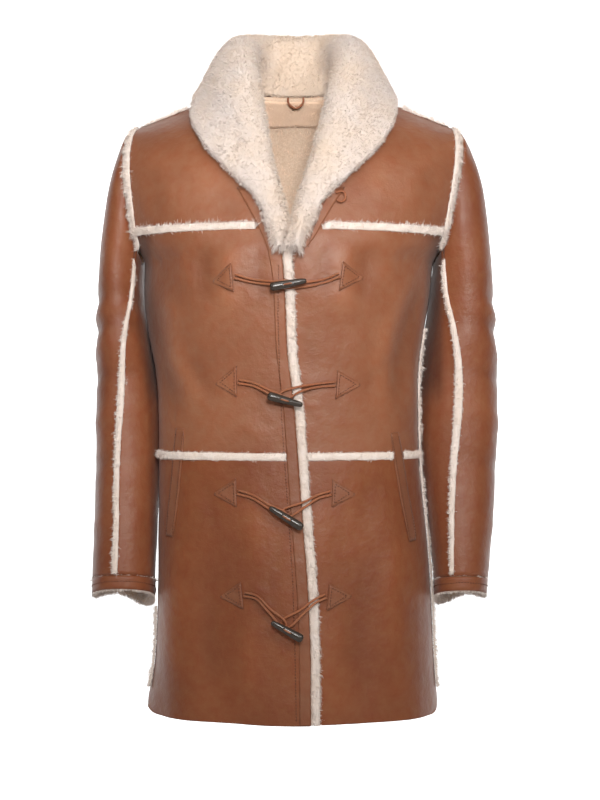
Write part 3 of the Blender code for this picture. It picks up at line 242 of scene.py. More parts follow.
# Creases of the sleeves: y and z at both ends of the outer side, half width, height
SLEEVE_CREASES = (
    (-58, -282, 30, -318, 9, -2.8),
    (-58, -306, 34, -338, 9, 2.2),
    (-56, -328, 26, -356, 8, -2.6),
    (-58, -352, 42, -396, 10, 2.2),
    (-60, -398, 14, -422, 9, -2.4),
    (-62, -444, 10, -492, 11, 1.8),
    (-66, -516, -4, -550, 10, -1.8),
    (-76, -600, -18, -634, 11, 1.5),
    (60, -210, 30, -300, 13, -2.4),
    (72, -340, 20, -440, 13, -2.2),
    (66, -470, 20, -560, 13, 1.8),
)

CREASE_SHADE_RANGE = 6.5  # painted shade in a crease this deep and painted highlight on its ridge take the leather's colour from darkest to lightest
CREASE_BOW, CREASE_FADE = 0.06, 0.35  # shares of its length: a crease's bow, and how soon its ends fade

# Each cloth piece's cut before sewing: width and length of the smallest sheet, and the piece's own area,
# in metres and square metres
CUTS = {
    "front_skirt": (0.27, 0.38, 0.096),
    "front_body": (0.28, 0.33, 0.082),
    "front_yoke": (0.22, 0.27, 0.045),
    "back_skirt": (0.50, 0.38, 0.165),
    "back_body": (0.48, 0.36, 0.15),
    "back_yoke": (0.46, 0.28, 0.11),
    "top_sleeve": (0.20, 0.66, 0.10),
    "under_sleeve": (0.19, 0.62, 0.085),
    "cuff_band": (0.25, 0.042, 0.0088),
    "collar": (0.82, 0.24, 0.155),
}


# ---------------------------------------------------------------- mesh tools

MIDDLE = (-5.0, -5.0)  # x and y of the middle of the body's hollow
BODY_TOP, SLEEVE_TOP = -120.0, -135.0  # above these heights the walls close over, so out is also up
# The middle of a sleeve's hollow from the cuff up: z, x out to its side, y
SLEEVE_MIDDLE = (
    (-735, 238, -30),
    (-630, 238, -16),
    (-510, 234, 6),
    (-402, 236, 18),
    (-303, 244, 17),
    (-200, 250, 12),
    (-120, 250, 8),
)
OUT_ACROSS, OUT_DEPTH = 0.55, 120.0  # the way out of the body: its sideways share against its depth
PAIR_ANGLE = math.radians(38)  # two triangles that bend less than this are joined
HARD_ANGLE = math.radians(55)  # a smooth mesh still shows its edges above this
FACE_FROM, FACE_BLEND = 24, 45  # depth where the fronts' and back's creases begin, and how soon they grow
OUTER_FROM, OUTER_BLEND = 205, 30  # the same, out to the side, for the creases of a sleeve
SETTLE_REACH = 0.02  # how far a thin piece may stand off what it lies on, in metres
SETTLE_SHARE = 12  # percent of its points that may sink in


def soft_step(x):
    """0 up to 0 and 1 from 1 on, with a soft rise between."""
    x = np.clip(x, 0.0, 1.0)
    return x * x * (3 - 2 * x)


def unit(vectors):
    return vectors / np.maximum(np.linalg.norm(vectors, axis=-1, keepdims=True), 1e-12)


def points_of(mesh):
    flat = np.empty(len(mesh.vertices) * 3)
    mesh.vertices.foreach_get("co", flat)
    return flat.reshape(-1, 3)


def normals_of(mesh):
    flat = np.empty(len(mesh.vertices) * 3, np.float32)
    mesh.vertex_normals.foreach_get("vector", flat)
    return flat.reshape(-1, 3).astype(float)


def set_points(mesh, points):
    mesh.vertices.foreach_set("co", np.ascontiguousarray(points, np.float32).ravel())
    mesh.update()


def triangles_of(mesh):
    mesh.calc_loop_triangles()
    flat = np.empty(len(mesh.loop_triangles) * 3, np.int32)
    mesh.loop_triangles.foreach_get("vertices", flat)
    return flat.reshape(-1, 3)


def put_value(mesh, name, values):
    layer = mesh.attributes.get(name) or mesh.attributes.new(name, "FLOAT", "POINT")
    layer.data.foreach_set("value", np.ascontiguousarray(values, np.float32))


def value_of(mesh, name):
    values = np.empty(len(mesh.vertices), np.float32)
    mesh.attributes[name].data.foreach_get("value", values)
    return values.astype(float)


def shade_faces(mesh, smooth=True):
    mesh.polygons.foreach_set("use_smooth", np.full(len(mesh.polygons), smooth))


def mesh_from(bm, name):
    """The bmesh as a mesh of its own."""
    mesh = bpy.data.meshes.new(name)
    bm.to_mesh(mesh)
    bm.free()
    return mesh


def new_object(name, mesh, look, slot, replaces=()):
    """Shows a mesh as a piece of the coat, in place of the nodes it replaces."""
    made = bpy.data.objects.new(name, mesh)
    bpy.context.scene.collection.objects.link(made)
    mesh.materials.clear()
    mesh.materials.append(look)
    # leather without creases gets the middle value of the painted crease shade
    if slot in ("leather", "thong") and "fold" not in mesh.attributes:
        put_value(mesh, "fold", np.full(len(mesh.vertices), 0.5))
    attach(made, "root")
    if replaces:
        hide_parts(*replaces)
    return made


def is_sleeve(node):
    return "sleeve" in node or "cuff" in node


def side_of(node):
    return SIDES[node.rsplit("_", 1)[1]]


def wall_centre(node, points):
    """The middle of the hollow that a wall goes round, beside each of its points."""
    z = points[:, 2] / MM
    if is_sleeve(node):
        rows, out, depth = np.array(SLEEVE_MIDDLE, float).T
        x, y = np.interp(z, rows, out) * side_of(node), np.interp(z, rows, depth)
        return np.column_stack([x, y, np.minimum(z, SLEEVE_TOP)]) * MM
    x, y = (np.full_like(z, place) for place in MIDDLE)
    return np.column_stack([x, y, np.minimum(z, BODY_TOP)]) * MM


def outward_of(node, points):
    """The level way out at each point: round a sleeve, or to the body's front or back."""
    if is_sleeve(node):
        away = points - wall_centre(node, points)
        away[:, 2] = 0
        return unit(away)
    x, y, _ = (points / MM).T
    depth = np.where(y < 0, -OUT_DEPTH, OUT_DEPTH)
    return unit(np.column_stack([OUT_ACROSS * (x - MIDDLE[0]), depth, np.zeros_like(x)]))


def cage(node, sharp=50):
    """A node's mesh, its points joined, its triangles paired and its sharp edges held."""
    bm = bmesh.new()
    bm.from_mesh(FRAME["nodes"][node].data)
    bmesh.ops.remove_doubles(bm, verts=bm.verts, dist=WELD)
    bmesh.ops.join_triangles(
        bm, faces=bm.faces, angle_face_threshold=PAIR_ANGLE, angle_shape_threshold=math.pi
    )
    crease = bm.edges.layers.float.get("crease_edge") or bm.edges.layers.float.new("crease_edge")
    for edge in bm.edges:
        if len(edge.link_faces) == 2 and edge.calc_face_angle(0) > math.radians(sharp):
            edge[crease] = 1.0
    return bm


def mark_skin(bm, node):
    """Gives each point 1 on a wall's outer side and 0 on its inner side."""
    skin = bm.verts.layers.float.new("skin")
    bm.normal_update()
    points = np.array([vert.co for vert in bm.verts])
    outward = unit(points - wall_centre(node, points))
    for vert, out in zip(bm.verts, outward):
        side = sum(face.calc_area() * face.normal.dot(Vector(out)) for face in vert.link_faces)
        vert[skin] = 1.0 if side > 0 else 0.0


def smoothed(bm, name, levels):
    """The cage as a mesh, subdivided."""
    rough = mesh_from(bm, name + "_cage")
    holder = bpy.data.objects.new(name + "_cage", rough)
    bpy.context.scene.collection.objects.link(holder)
    modifier = holder.modifiers.new("smooth", "SUBSURF")
    modifier.levels = modifier.render_levels = levels
    graph = bpy.context.evaluated_depsgraph_get()
    mesh = bpy.data.meshes.new_from_object(holder.evaluated_get(graph))
    bpy.data.objects.remove(holder)
    bpy.data.meshes.remove(rough)
    mesh.name = name
    shade_faces(mesh)
    mesh.set_sharp_from_angle(angle=HARD_ANGLE)
    return mesh


def band_heights(a, b, rows):
    """The sum of the soft troughs and ridges at places (a, b), in millimetres."""
    height = np.zeros_like(a)
    for a0, b0, a1, b1, half, high in rows:
        run = np.array([a1 - a0, b1 - b0], float)
        length = np.hypot(*run)
        run = run / length
        along = (a - a0) * run[0] + (b - b0) * run[1]
        bow = CREASE_BOW * length * np.sin(np.clip(along / length, 0, 1) * math.pi)
        across = (a - a0) * run[1] - (b - b0) * run[0] - bow
        fade = CREASE_FADE * length
        ends = soft_step(along / fade) * soft_step((length - along) / fade)
        height += high * ends * np.exp(-((across / half) ** 2))
    return height


def crease_heights(node, points):
    """How high the creases stand at each point, in millimetres."""
    x, y, z = (points / MM).T
    if is_sleeve(node):
        outer = soft_step((x * side_of(node) - OUTER_FROM) / OUTER_BLEND)
        return band_heights(y, z, SLEEVE_CREASES) * outer
    front = band_heights(x, z, FRONT_CREASES) * soft_step((-y - FACE_FROM) / FACE_BLEND)
    return front + band_heights(x, z, BACK_CREASES) * soft_step((y - FACE_FROM) / FACE_BLEND)


def crease_offsets(node, points):
    """How far the creases move each point, the same for a panel and for what lies on it."""
    return outward_of(node, points) * (crease_heights(node, points) * MM)[:, None]


def wrinkle(mesh, node):
    """Moves a panel by its creases, stores the painted shade and highlight that they give the leather's
    colour, and gives its new points.
    """
    points = points_of(mesh)
    put_value(mesh, "fold", np.clip(0.5 + crease_heights(node, points) / CREASE_SHADE_RANGE, 0, 1))
    points = points + crease_offsets(node, points)
    set_points(mesh, points)
    return points


def lumps(points, size, seed):
    """Soft noise from -1 to 1 at each point."""
    shift = Vector((seed * 3.1, seed * 1.7, seed * 0.9))
    return np.array([noise.noise(Vector(p) / size + shift) for p in points])


def hide_heights(points):
    """The slight unevenness of the hide, in metres."""
    return lumps(points, 0.05, 5) * 0.0009 + lumps(points, 0.018, 8) * 0.0003


def tree_of(names):
    """One search tree over several shown objects."""
    verts, faces, start = [], [], 0
    for name in names:
        mesh = bpy.data.objects[name].data
        points = points_of(mesh)
        verts.append(points)
        faces.append(triangles_of(mesh) + start)
        start += len(points)
    return BVHTree.FromPolygons(np.concatenate(verts).tolist(), np.concatenate(faces).tolist())


def settle(mesh, node, tree, gap):
    """Moves a thin piece straight onto what it lies on, the whole piece by one distance."""
    points = points_of(mesh)
    out = outward_of(node, points)
    starts = points + out * SETTLE_REACH
    rays = ((Vector(start), Vector(-way)) for start, way in zip(starts, out))
    found = [tree.ray_cast(start, way, 2 * SETTLE_REACH)[3] for start, way in rays]
    heights = np.array([hit - SETTLE_REACH if hit is not None else np.nan for hit in found])
    if np.isnan(heights).all():
        return
    set_points(mesh, points - out * (np.nanpercentile(heights, SETTLE_SHARE) - gap))


# ---------------------------------------------------------------- finishes

BLACK, WHITE = (0, 0, 0), (1, 1, 1)
MIX_SOCKETS = {"RGBA": (6, 7, 2), "FLOAT": (2, 3, 0)}  # a mix node's two inputs and its output
PILE_TINT = (0.97, 0.86, 0.74)  # the short pile inside is warmer than the seams' wool
CREASE_SHADE_TINT = (0.68, 0.63, 0.59)  # painted shade: the leather's share of its colour in the deepest crease
SHELTER_SHADE_TINT = (0.45, 0.42, 0.40)  # painted shade: the same where sleeve and body lie against each other
HORN_STREAK = (0.11, 0.075, 0.05)
# Painted shade: darker copies of the leather for the skirt and the sleeves, a share of the leather's colour
# for each group of panels
SHADED_TONES = {
    "sheepskin": (1.0, 1.0, 1.0),
    "sheepskin_skirt": (0.87, 0.72, 0.50),
    "sheepskin_sleeve": (0.88, 0.76, 0.62),
}


class Finish:
    """A material in the making: its shader, and short ways to add nodes and fill their sockets."""

    def __init__(self, name):
        self.material = bpy.data.materials.new(name)
        self.material.use_nodes = True
        self.tree = self.material.node_tree
        self.shader = self.tree.nodes["Principled BSDF"]
        self.place = self.add("TexCoord").outputs["Object"]

    def fill(self, socket, value):
        """Links a socket to another one, or sets it to a plain value."""
        if isinstance(value, bpy.types.NodeSocket):
            self.tree.links.new(value, socket)
        else:
            socket.default_value = value

    def put(self, node, **values):
        """Fills a node's sockets by name, with _ for a space, and sets what isn't a socket."""
        for key, value in values.items():
            socket = node.inputs.get(key.replace("_", " "))
            if socket is None:
                setattr(node, key, value)
            else:
                self.fill(socket, value)
        return node

    def add(self, kind, **values):
        return self.put(self.tree.nodes.new("ShaderNode" + kind), **values)

    def noise(self, **values):
        """Noise over the object's own space, unless another vector is given."""
        return self.add("TexNoise", **{"Vector": self.place, **values}).outputs["Fac"]

    def value(self, name):
        """A value that the mesh holds at each point."""
        return self.add("Attribute", attribute_name=name).outputs["Fac"]

    def ramp(self, value, low, high, first, second):
        """A colour that goes from the first to the second as a value passes from low to high."""
        made = self.add("ValToRGB", Fac=value)
        for end, place, colour in zip(made.color_ramp.elements, (low, high), (first, second)):
            end.position = place
            end.color = (*colour, 1)
        return made.outputs["Color"]

    def mix(self, share, first, second, kind="RGBA", blend="MIX"):
        """Two colours or two numbers mixed; each of the three may be a socket."""
        start, end, result = MIX_SOCKETS[kind]
        mixer = self.add("Mix", data_type=kind, blend_type=blend, Factor=share)
        self.fill(mixer.inputs[start], first)
        self.fill(mixer.inputs[end], second)
        return mixer.outputs[result]

    def bumps(self, *rows):
        """Bumps laid over one another, each with its height, strength and depth."""
        under = None
        for height, strength, depth in rows:
            bump = self.add("Bump", Height=height, Strength=strength, Distance=depth)
            if under is not None:
                self.fill(bump.inputs["Normal"], under)
            under = bump.outputs["Normal"]
        self.put(self.shader, Normal=under)

    def done(self, **values):
        """Fills the shader and gives the material."""
        self.put(self.shader, **values)
        return self.material


def tinted(colour, share):
    """A colour times one share, or one for each of its parts, at most 1."""
    return tuple(np.minimum(np.array(tuple(colour)) * share, 1.0).tolist())


def leather_finish(name, colour, shade, grain, roughness, walls=False):
    """Tan leather with a pebbled grain; walls adds the pile on a wall's inner side and its cut edge."""
    look = Finish(name)
    hide = look.noise(Scale=7.0, Detail=3.0, Roughness=0.55)
    mottle = look.noise(Scale=70.0, Detail=4.0, Roughness=0.6)
    crinkle = look.noise(Scale=230.0, Detail=3.0, Roughness=0.6, Distortion=0.6)
    cells = look.add("TexVoronoi", Vector=look.place, Scale=1.0 / grain, Randomness=1.0)
    pebbles = cells.outputs["Distance"]
    wide = look.ramp(hide, 0.34, 0.68, shade, colour)
    fine = look.mix(mottle, wide, (*tinted(colour, 1.09), 1), blend="SOFT_LIGHT")
    # painted shade in the creases and painted highlight on their ridges, multiplied into the leather's colour
    crease_shading = look.ramp(look.value("fold"), 0.0, 1.0, CREASE_SHADE_TINT, WHITE)
    base = look.mix(1.0, fine, crease_shading, blend="MULTIPLY")
    rough = look.add("MapRange", Value=mottle, To_Min=roughness - 0.06, To_Max=roughness + 0.09)
    rough = rough.outputs["Result"]
    if walls:
        fleece = bpy.context.scene.coat_fleece
        wool = look.noise(Scale=420.0, Detail=3.0, Roughness=0.7)
        pile = look.ramp(wool, 0.3, 0.7, tinted(fleece.root, PILE_TINT), tinted(fleece.colour, PILE_TINT))
        cut = look.ramp(look.value("skin"), *LEATHER_SHOWS, BLACK, WHITE)
        shelter = look.value("shelter")
        # painted shade where sleeve and body lie together, made matt there too
        under = look.ramp(shelter, 0.0, 1.0, WHITE, SHELTER_SHADE_TINT)
        base = look.mix(1.0, look.mix(cut, pile, base), under, blend="MULTIPLY")
        rough = look.mix(shelter, look.mix(cut, 0.95, rough, "FLOAT"), 0.97, "FLOAT")
    look.bumps((pebbles, 0.22, 0.0004), (crinkle, 0.25, 0.0007), (mottle, 0.35, 0.0035))
    return look.done(
        Base_Color=base, Roughness=rough, Specular_IOR_Level=0.4, Sheen_Weight=0.15, Sheen_Roughness=0.5
    )


def fleece_finish(name, colour, root, warm):
    """Wool: painted shade darkens it towards the hide and in its hollows, with warm patches and each lock a
    little different.
    """
    look = Finish(name)
    patches = look.noise(Scale=17.0, Detail=4.0, Roughness=0.6)
    curl = look.noise(Scale=330.0, Detail=3.0, Roughness=0.75, Distortion=0.8)
    cloud = look.add("Math", operation="ADD")
    look.fill(cloud.inputs[0], patches)
    look.fill(cloud.inputs[1], look.value("warm"))
    tips = look.ramp(cloud.outputs[0], 0.45, 1.0, colour, warm)
    share = look.ramp(look.value("shade"), 0.1, 0.8, BLACK, WHITE)
    base = look.mix(share, (*root, 1), tips)
    look.bumps((curl, 0.5, 0.0015))
    return look.done(
        Base_Color=base, Roughness=0.95, Specular_IOR_Level=0.1, Sheen_Weight=0.35, Sheen_Roughness=0.6
    )


def horn_finish(name, colour):
    """Polished dark horn with paler streaks along it."""
    look = Finish(name)
    along = look.add("Mapping", Vector=look.place, Scale=(0.25, 1.0, 1.0)).outputs["Vector"]
    streaks = look.noise(Vector=along, Scale=320.0, Detail=3.0, Distortion=1.2)
    base = look.ramp(streaks, 0.52, 0.78, colour, HORN_STREAK)
    rough = look.ramp(streaks, 0.3, 0.8, (0.2, 0.2, 0.2), (0.34, 0.34, 0.34))
    return look.done(
        Base_Color=base, Roughness=rough, Specular_IOR_Level=0.6, Coat_Weight=0.35, Coat_Roughness=0.12
    )


def thread_finish(name, colour):
    """Sewing thread, lighter here and there along its twist."""
    look = Finish(name)
    base = look.ramp(look.noise(Scale=900.0, Detail=2.0), 0.35, 0.7, colour, tinted(colour, 1.7))
    return look.done(Base_Color=base, Roughness=0.7)


# the skirt's and sleeves' leather is a copy darkened with painted shade
def shaded_tone_of(node):
    if is_sleeve(node):
        return "sheepskin_sleeve"
    return "sheepskin_skirt" if "skirt" in node else "sheepskin"


def finish(name):
    """A finish by name, made once."""
    made = bpy.data.materials.get(name)
    if made:
        return made
    scene = bpy.context.scene
    leather, fleece, trim = scene.coat_leather, scene.coat_fleece, scene.coat_trim
    if name == "tan_leather" or name in SHADED_TONES:
        tan, deep = (tinted(shade, SHADED_TONES.get(name, 1.0)) for shade in (leather.colour, leather.shade))
        return leather_finish(name, tan, deep, leather.grain, leather.roughness, walls=name in SHADED_TONES)
    if name == "thong_leather":
        return leather_finish(name, trim.thong, tinted(trim.thong, 0.7), leather.grain * 0.6, 0.5)
    if name == "cream_fleece":
        return fleece_finish(name, fleece.colour, fleece.root, tinted(fleece.colour, (1.0, 0.93, 0.85)))
    if name == "collar_fleece":
        return fleece_finish(name, fleece.collar, tinted(fleece.warm, 0.93), fleece.warm)
    if name == "neck_pile":
        pale = tinted(fleece.colour, (1.1, 0.92, 0.75))
        return fleece_finish(name, pale, tinted(fleece.root, (1.15, 1.0, 0.85)), pale)
    if name == "horn":
        return horn_finish(name, trim.horn)
    return thread_finish(name, trim.thread)


# ---------------------------------------------------------------- wool

BLADE = 5  # points of a lock: two at its root, two at its middle, one at its tip
ROOT_SPREAD, TIP_SPREAD = 0.22, 0.3  # how unevenly locks start and curl
MIDDLE_AT = 0.55  # where a lock bends, as a share of its length
LOCK_LENGTHS, LOCK_WIDTHS, LOCK_LIGHTS = (0.65, 1.2), (0.7, 1.3), (0.8, 1.0)  # least and most, as shares
MIDDLE_LIGHT, WARMTH_SPREAD = 0.92, 0.04


def scatter(mesh, count, seed, keep=None):
    """Random places on a mesh with their normals; keep weighs the triangles by centre and normal."""
    rng = np.random.default_rng(seed)
    points, normals, faces = points_of(mesh), normals_of(mesh), triangles_of(mesh)
    a, b, c = (points[faces[:, k]] for k in range(3))
    flat = unit(np.cross(b - a, c - a))
    area = np.linalg.norm(np.cross(b - a, c - a), axis=1) / 2
    if keep is not None:
        area = area * keep((a + b + c) / 3, flat)
    picked = rng.choice(len(faces), size=count, p=area / area.sum())
    u, v = rng.random(count), rng.random(count)
    over = u + v > 1
    u[over], v[over] = 1 - u[over], 1 - v[over]
    share = np.column_stack([1 - u - v, u, v])[..., None]
    corner = faces[picked]
    place = (points[corner] * share).sum(axis=1)
    normal = unit((normals[corner] * share).sum(axis=1))
    return place, normal, rng


def wool_mesh(name, place, normal, comb, length, width, lean, clump, rng, tuft=22, root=0.66):
    """Locks of wool: each a narrow curved blade of three triangles, its tip drawn into a tuft."""
    count = len(place)
    jitter = rng.normal(0, ROOT_SPREAD, (count, 3))
    first = unit(normal * (1 - lean) + comb * lean + jitter)
    second = unit(first + comb * 0.5 * lean + rng.normal(0, TIP_SPREAD, (count, 3)) - normal * 0.12)
    long = length * rng.uniform(*LOCK_LENGTHS, count)[:, None]
    middle = place + first * long * MIDDLE_AT
    tip = middle + second * long * (1 - MIDDLE_AT)
    heads = rng.choice(count, size=max(1, count // tuft), replace=False)
    finder = KDTree(len(heads))
    for k, head in enumerate(heads):
        finder.insert(Vector(place[head]), k)
    finder.balance()
    own = np.array([heads[finder.find(Vector(p))[1]] for p in place])
    pull = clump * rng.uniform(0.4, 1.0, count)[:, None]
    tip = tip + (tip[own] + (place - place[own]) * 0.3 - tip) * pull
    middle = middle + (middle[own] + (place - place[own]) * 0.6 - middle) * pull * 0.6
    beside = unit(np.cross(first, rng.normal(0, 1, (count, 3))))
    half = beside * (width * rng.uniform(*LOCK_WIDTHS, count))[:, None] / 2
    start = place - normal * width
    verts = np.stack([start - half, start + half, middle - half * 0.8, middle + half * 0.8, tip], axis=1)
    start = np.arange(count)[:, None] * BLADE
    quads = start + np.array([0, 1, 3, 2])
    tips = start + np.array([2, 3, 4])
    mesh = bpy.data.meshes.new(name)
    mesh.from_pydata(verts.reshape(-1, 3).tolist(), [], quads.tolist() + tips.tolist())
    shade_faces(mesh, False)
    # painted shade: each lock darker towards its root
    light = np.array([root, root, MIDDLE_LIGHT, MIDDLE_LIGHT, 1.0])
    put_value(mesh, "shade", (rng.uniform(*LOCK_LIGHTS, count)[:, None] * light[None]).ravel())
    put_value(mesh, "warm", np.repeat(rng.uniform(-WARMTH_SPREAD, WARMTH_SPREAD, count), BLADE))
    return mesh


def comb_along(normal, direction):
    """A direction laid flat on the surface."""
    towards = np.broadcast_to(np.array(direction, float), normal.shape)
    flat = towards - normal * np.sum(towards * normal, axis=1, keepdims=True)
    return unit(flat)


def join_meshes(name, meshes):
    """Several meshes as one, with the values at their points."""
    bm = bmesh.new()
    for mesh in meshes:
        bm.from_mesh(mesh)
        bpy.data.meshes.remove(mesh)
    return mesh_from(bm, name)


def lumpy(mesh, height, amount, level, spread):
    """Raises a fleece mesh by its lumps and stores how they shade it."""
    set_points(mesh, points_of(mesh) + normals_of(mesh) * (height * amount)[:, None])
    put_value(mesh, "shade", level + spread * height)
    put_value(mesh, "warm", np.zeros(len(height)))


def wool_base(node, name, levels, amount, size, seed, level=0.62):
    """A fleece node, rounded and a little lumpy, with its shade value."""
    mesh = smoothed(cage(node, sharp=75), name, levels)
    lumpy(mesh, lumps(points_of(mesh), size, seed), amount, level, 0.2)
    return mesh


# ---------------------------------------------------------------- pieces

PAIRED = ("front_skirt", "front_body", "front_yoke", "top_sleeve", "under_sleeve", "cuff_band")
BACKS = ("back_skirt", "back_body", "back_yoke")
PILE_SHOWS, HIDE_SHOWS = 0.3, 0.9  # shares of a wall's thickness: pile below the first, hide above the last
SHELTER_FROM, SHELTER_RISE = -470, 60  # height where sleeve and body begin to lie together, and how soon
SLEEVE_INNER, SLEEVE_INNER_BLEND = 216, 14  # out to the side, where the sleeve's inner side ends
FLANK, FLANK_BLEND = ((-460, -200), (176, 186)), 22  # the same for the body's side, by height
# Painted shade of a band or patch: its fold value on its face, and how much it drops where it turns away and
# below the waist
BAND_LIGHT, BAND_TURN_SHADE, BAND_LOW_SHADE = 0.62, 1.5, 0.5
WAIST = 0.45  # how far the waist seam lies below the neck, in metres


def panel_nodes():
    return [*BACKS] + [f"{part}_{side}" for part in PAIRED for side in SIDES]


def panel_name(node):
    return f"sheepskin_{node}"


def declare_cut(part):
    """Looks up the panel's flat size before sewing, and does nothing more with it."""
    width, length, area = CUTS[part]


def shelter_shade_of(node, points):
    """1 where the coat's side and the sleeve's inner side lie against each other, for painted shade and a
    matt finish there, else 0.
    """
    x, _, z = (points / MM).T
    high = soft_step((z - SHELTER_FROM) / SHELTER_RISE)
    if node.startswith("under_sleeve"):
        return high * soft_step((SLEEVE_INNER - np.abs(x)) / SLEEVE_INNER_BLEND)
    if "body" in node:
        return high * soft_step((np.abs(x - MIDDLE[0]) - np.interp(z, *FLANK)) / FLANK_BLEND)
    return np.zeros(len(points))


class COAT_OT_panels(bpy.types.Operator):
    """Sheepskin walls of the fronts, back, sleeves and cuffs, with their creases"""

    bl_idname = "coat.panels"
    bl_label = "Panels"

    def execute(self, context):
        for node in panel_nodes():
            bm = cage(node)
            mark_skin(bm, node)
            mesh = smoothed(bm, panel_name(node), 2)
            points = wrinkle(mesh, node)
            skin, normal = value_of(mesh, "skin"), normals_of(mesh)
            pile = lumps(points, 0.007, 2) * 0.0011 * soft_step((PILE_SHOWS - skin) / PILE_SHOWS)
            hide = hide_heights(points) * soft_step((skin - HIDE_SHOWS) / (1 - HIDE_SHOWS))
            set_points(mesh, points + normal * (pile + hide)[:, None])
            made = new_object(panel_name(node), mesh, finish(shaded_tone_of(node)), "leather", [node])
            put_value(mesh, "shelter", shelter_shade_of(node, points))
            declare_cut(node if node in BACKS else node.rsplit("_", 1)[0])
        return {"FINISHED"}


class COAT_OT_bands(bpy.types.Operator):
    """Leather bands down the front edges, pocket welts and triangular patches"""

    bl_idname = "coat.bands"
    bl_label = "Bands, welts and patches"

    def execute(self, context):
        ground = tree_of([panel_name(node) for node in panel_nodes()])
        names = [f"{part}_{side}" for part in ("front_band", "pocket_welt") for side in SIDES]
        names += [f"patch_{number}_{side}" for number in range(1, 5) for side in SIDES]
        for node in names:
            mesh = smoothed(cage(node), f"leather_{node}", 2)
            points = points_of(mesh)
            hide = outward_of(node, points) * hide_heights(points)[:, None]
            set_points(mesh, points + crease_offsets(node, points) + hide)
            settle(mesh, node, ground, 0.0)
            points = points_of(mesh)
            # painted shade: bands and patches darker on their sides, where they turn away, and below the
            # waist
            below = soft_step((-points[:, 2] - WAIST) / 0.012)
            facing = np.sum(normals_of(mesh) * outward_of(node, points), axis=1)
            fold = BAND_LIGHT - BAND_TURN_SHADE * (1 - np.clip(facing, 0, 1)) - BAND_LOW_SHADE * below
            put_value(mesh, "fold", np.clip(fold, 0, 1))
            new_object(f"leather_{node}", mesh, finish("tan_leather"), "leather", [node])
        return {"FINISHED"}


# Raw seam edges: start of the node's name, how the wool lies, whether that turns with the side, the short
# wool's length as a share, locks for each metre, how many of them stick out, and how far these reach
SEAM_WOOL = (
    ("yoke_fleece", (0.25, -0.45, 1.0), False, 0.95, 14000, 0.16, 2.3),
    ("waist_fleece", (0.15, -0.5, 1.0), False, 0.8, 13500, 0.05, 1.8),
    ("front_edge_fleece", (1.0, -0.5, -0.45), False, 0.95, 14500, 0.16, 1.8),
    ("armhole_fleece", (1.0, -0.4, -0.35), True, 1.15, 14500, 0.3, 2.0),
    ("side_fleece", (1.0, 0.1, -0.3), True, 1.0, 9500, 0.2, 1.7),
    ("shoulder_fleece", (0.0, -0.1, 1.0), False, 1.5, 12000, 0.3, 1.6),
    ("sleeve_front_fleece", (-1.0, -0.5, -0.15), False, 0.85, 11500, 0.14, 1.8),
    ("sleeve_back_fleece_left", (1.0, 0.25, -0.1), True, 1.5, 11000, 0.45, 1.9),
    ("sleeve_back_fleece", (0.6, 1.0, -0.1), True, 1.1, 8000, 0.2, 1.6),
)
STANDING = ("side", "shoulder", "armhole")  # seams whose fleece stands out and isn't settled on a panel
FLEECE_SINK = 0.0004  # how deep the rest of it sits in the hide
SWAY, SLEEVE_SWAY = 0.0013, 0.6  # how far a raw edge wavers, and a sleeve's share of that


def reach_up(points):
    """The top of the front edge's fleece drawn up between the collar's ends."""
    share = soft_step((points[:, 2] + 0.300) / 0.040)[:, None]
    return points + share * np.array([-0.002, -0.0045, 0.027])


def seam_base(node, lay, seed, panels):
    """The body of a raw edge, laid in the panels' creases."""
    base = wool_base(node, node + "_base", levels=2, amount=0.0007, size=0.008, seed=seed)
    points = points_of(base)
    sway = comb_along(normals_of(base), lay) * (lumps(points, 0.024, seed + 9) * SWAY)[:, None]
    swing = SLEEVE_SWAY if is_sleeve(node) else 1.0
    set_points(base, points + crease_offsets(node, points) + swing * sway)
    if not node.startswith(STANDING):
        settle(base, node, panels, -FLEECE_SINK)
    if node == "front_edge_fleece":
        set_points(base, reach_up(points_of(base)))
    return base


class COAT_OT_seam_wool(bpy.types.Operator):
    """Raw fleece that stands out along the seams"""

    bl_idname = "coat.seam_wool"
    bl_label = "Raw seam edges"

    def execute(self, context):
        length = context.scene.coat_fleece.seam_length
        panels = tree_of([panel_name(node) for node in panel_nodes()])
        for seed, node in enumerate(sorted(FRAME["nodes"])):
            rows = [row for row in SEAM_WOOL if node.startswith(row[0])]
            if not rows:
                continue
            _, lay, turns, share, density, stray, reach = rows[0]
            if turns:
                lay = (lay[0] * side_of(node), lay[1], lay[2])
            base = seam_base(node, lay, seed, panels)
            low, high = np.array(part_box(node))
            run = float(np.linalg.norm(high - low))
            place, normal, rng = scatter(base, int(density * run), seed + 40)
            comb = comb_along(normal, lay)
            uneven = 1 + 0.35 * lumps(place, 0.012, seed)
            gathered = lumps(place, 0.007, seed + 5) + 1
            long = (rng.random(len(place)) < stray * gathered) * (reach - 1) + 1
            if node.startswith("waist"):
                long = long * (1 + soft_step((np.abs(place[:, 0]) - 0.185) / 0.02))
            long = (length * share * uneven * long)[:, None]
            shape = {"width": 0.0005, "lean": 0.5, "clump": 0.5}
            wool = wool_mesh(node + "_wool", place, normal, comb, long, rng=rng, **shape)
            mesh = join_meshes(f"wool_{node}", [base, wool])
            new_object(f"wool_{node}", mesh, finish("cream_fleece"), "fleece", [node])
        return {"FINISHED"}


COLLAR_X = -0.0038  # x between the collar's two lower ends
END_CENTRES = (-0.023, 0.003)  # x of these ends, the wearer's right and left
SKIN_REACH = 0.0035  # a triangle with the collar's leather this close above it gets no wool
# Half the collar's width by height, in metres
COLLAR_HALF = ((-0.24, -0.15, -0.05, 0.0, 0.09), (0.03, 0.08, 0.15, 0.15, 0.11))


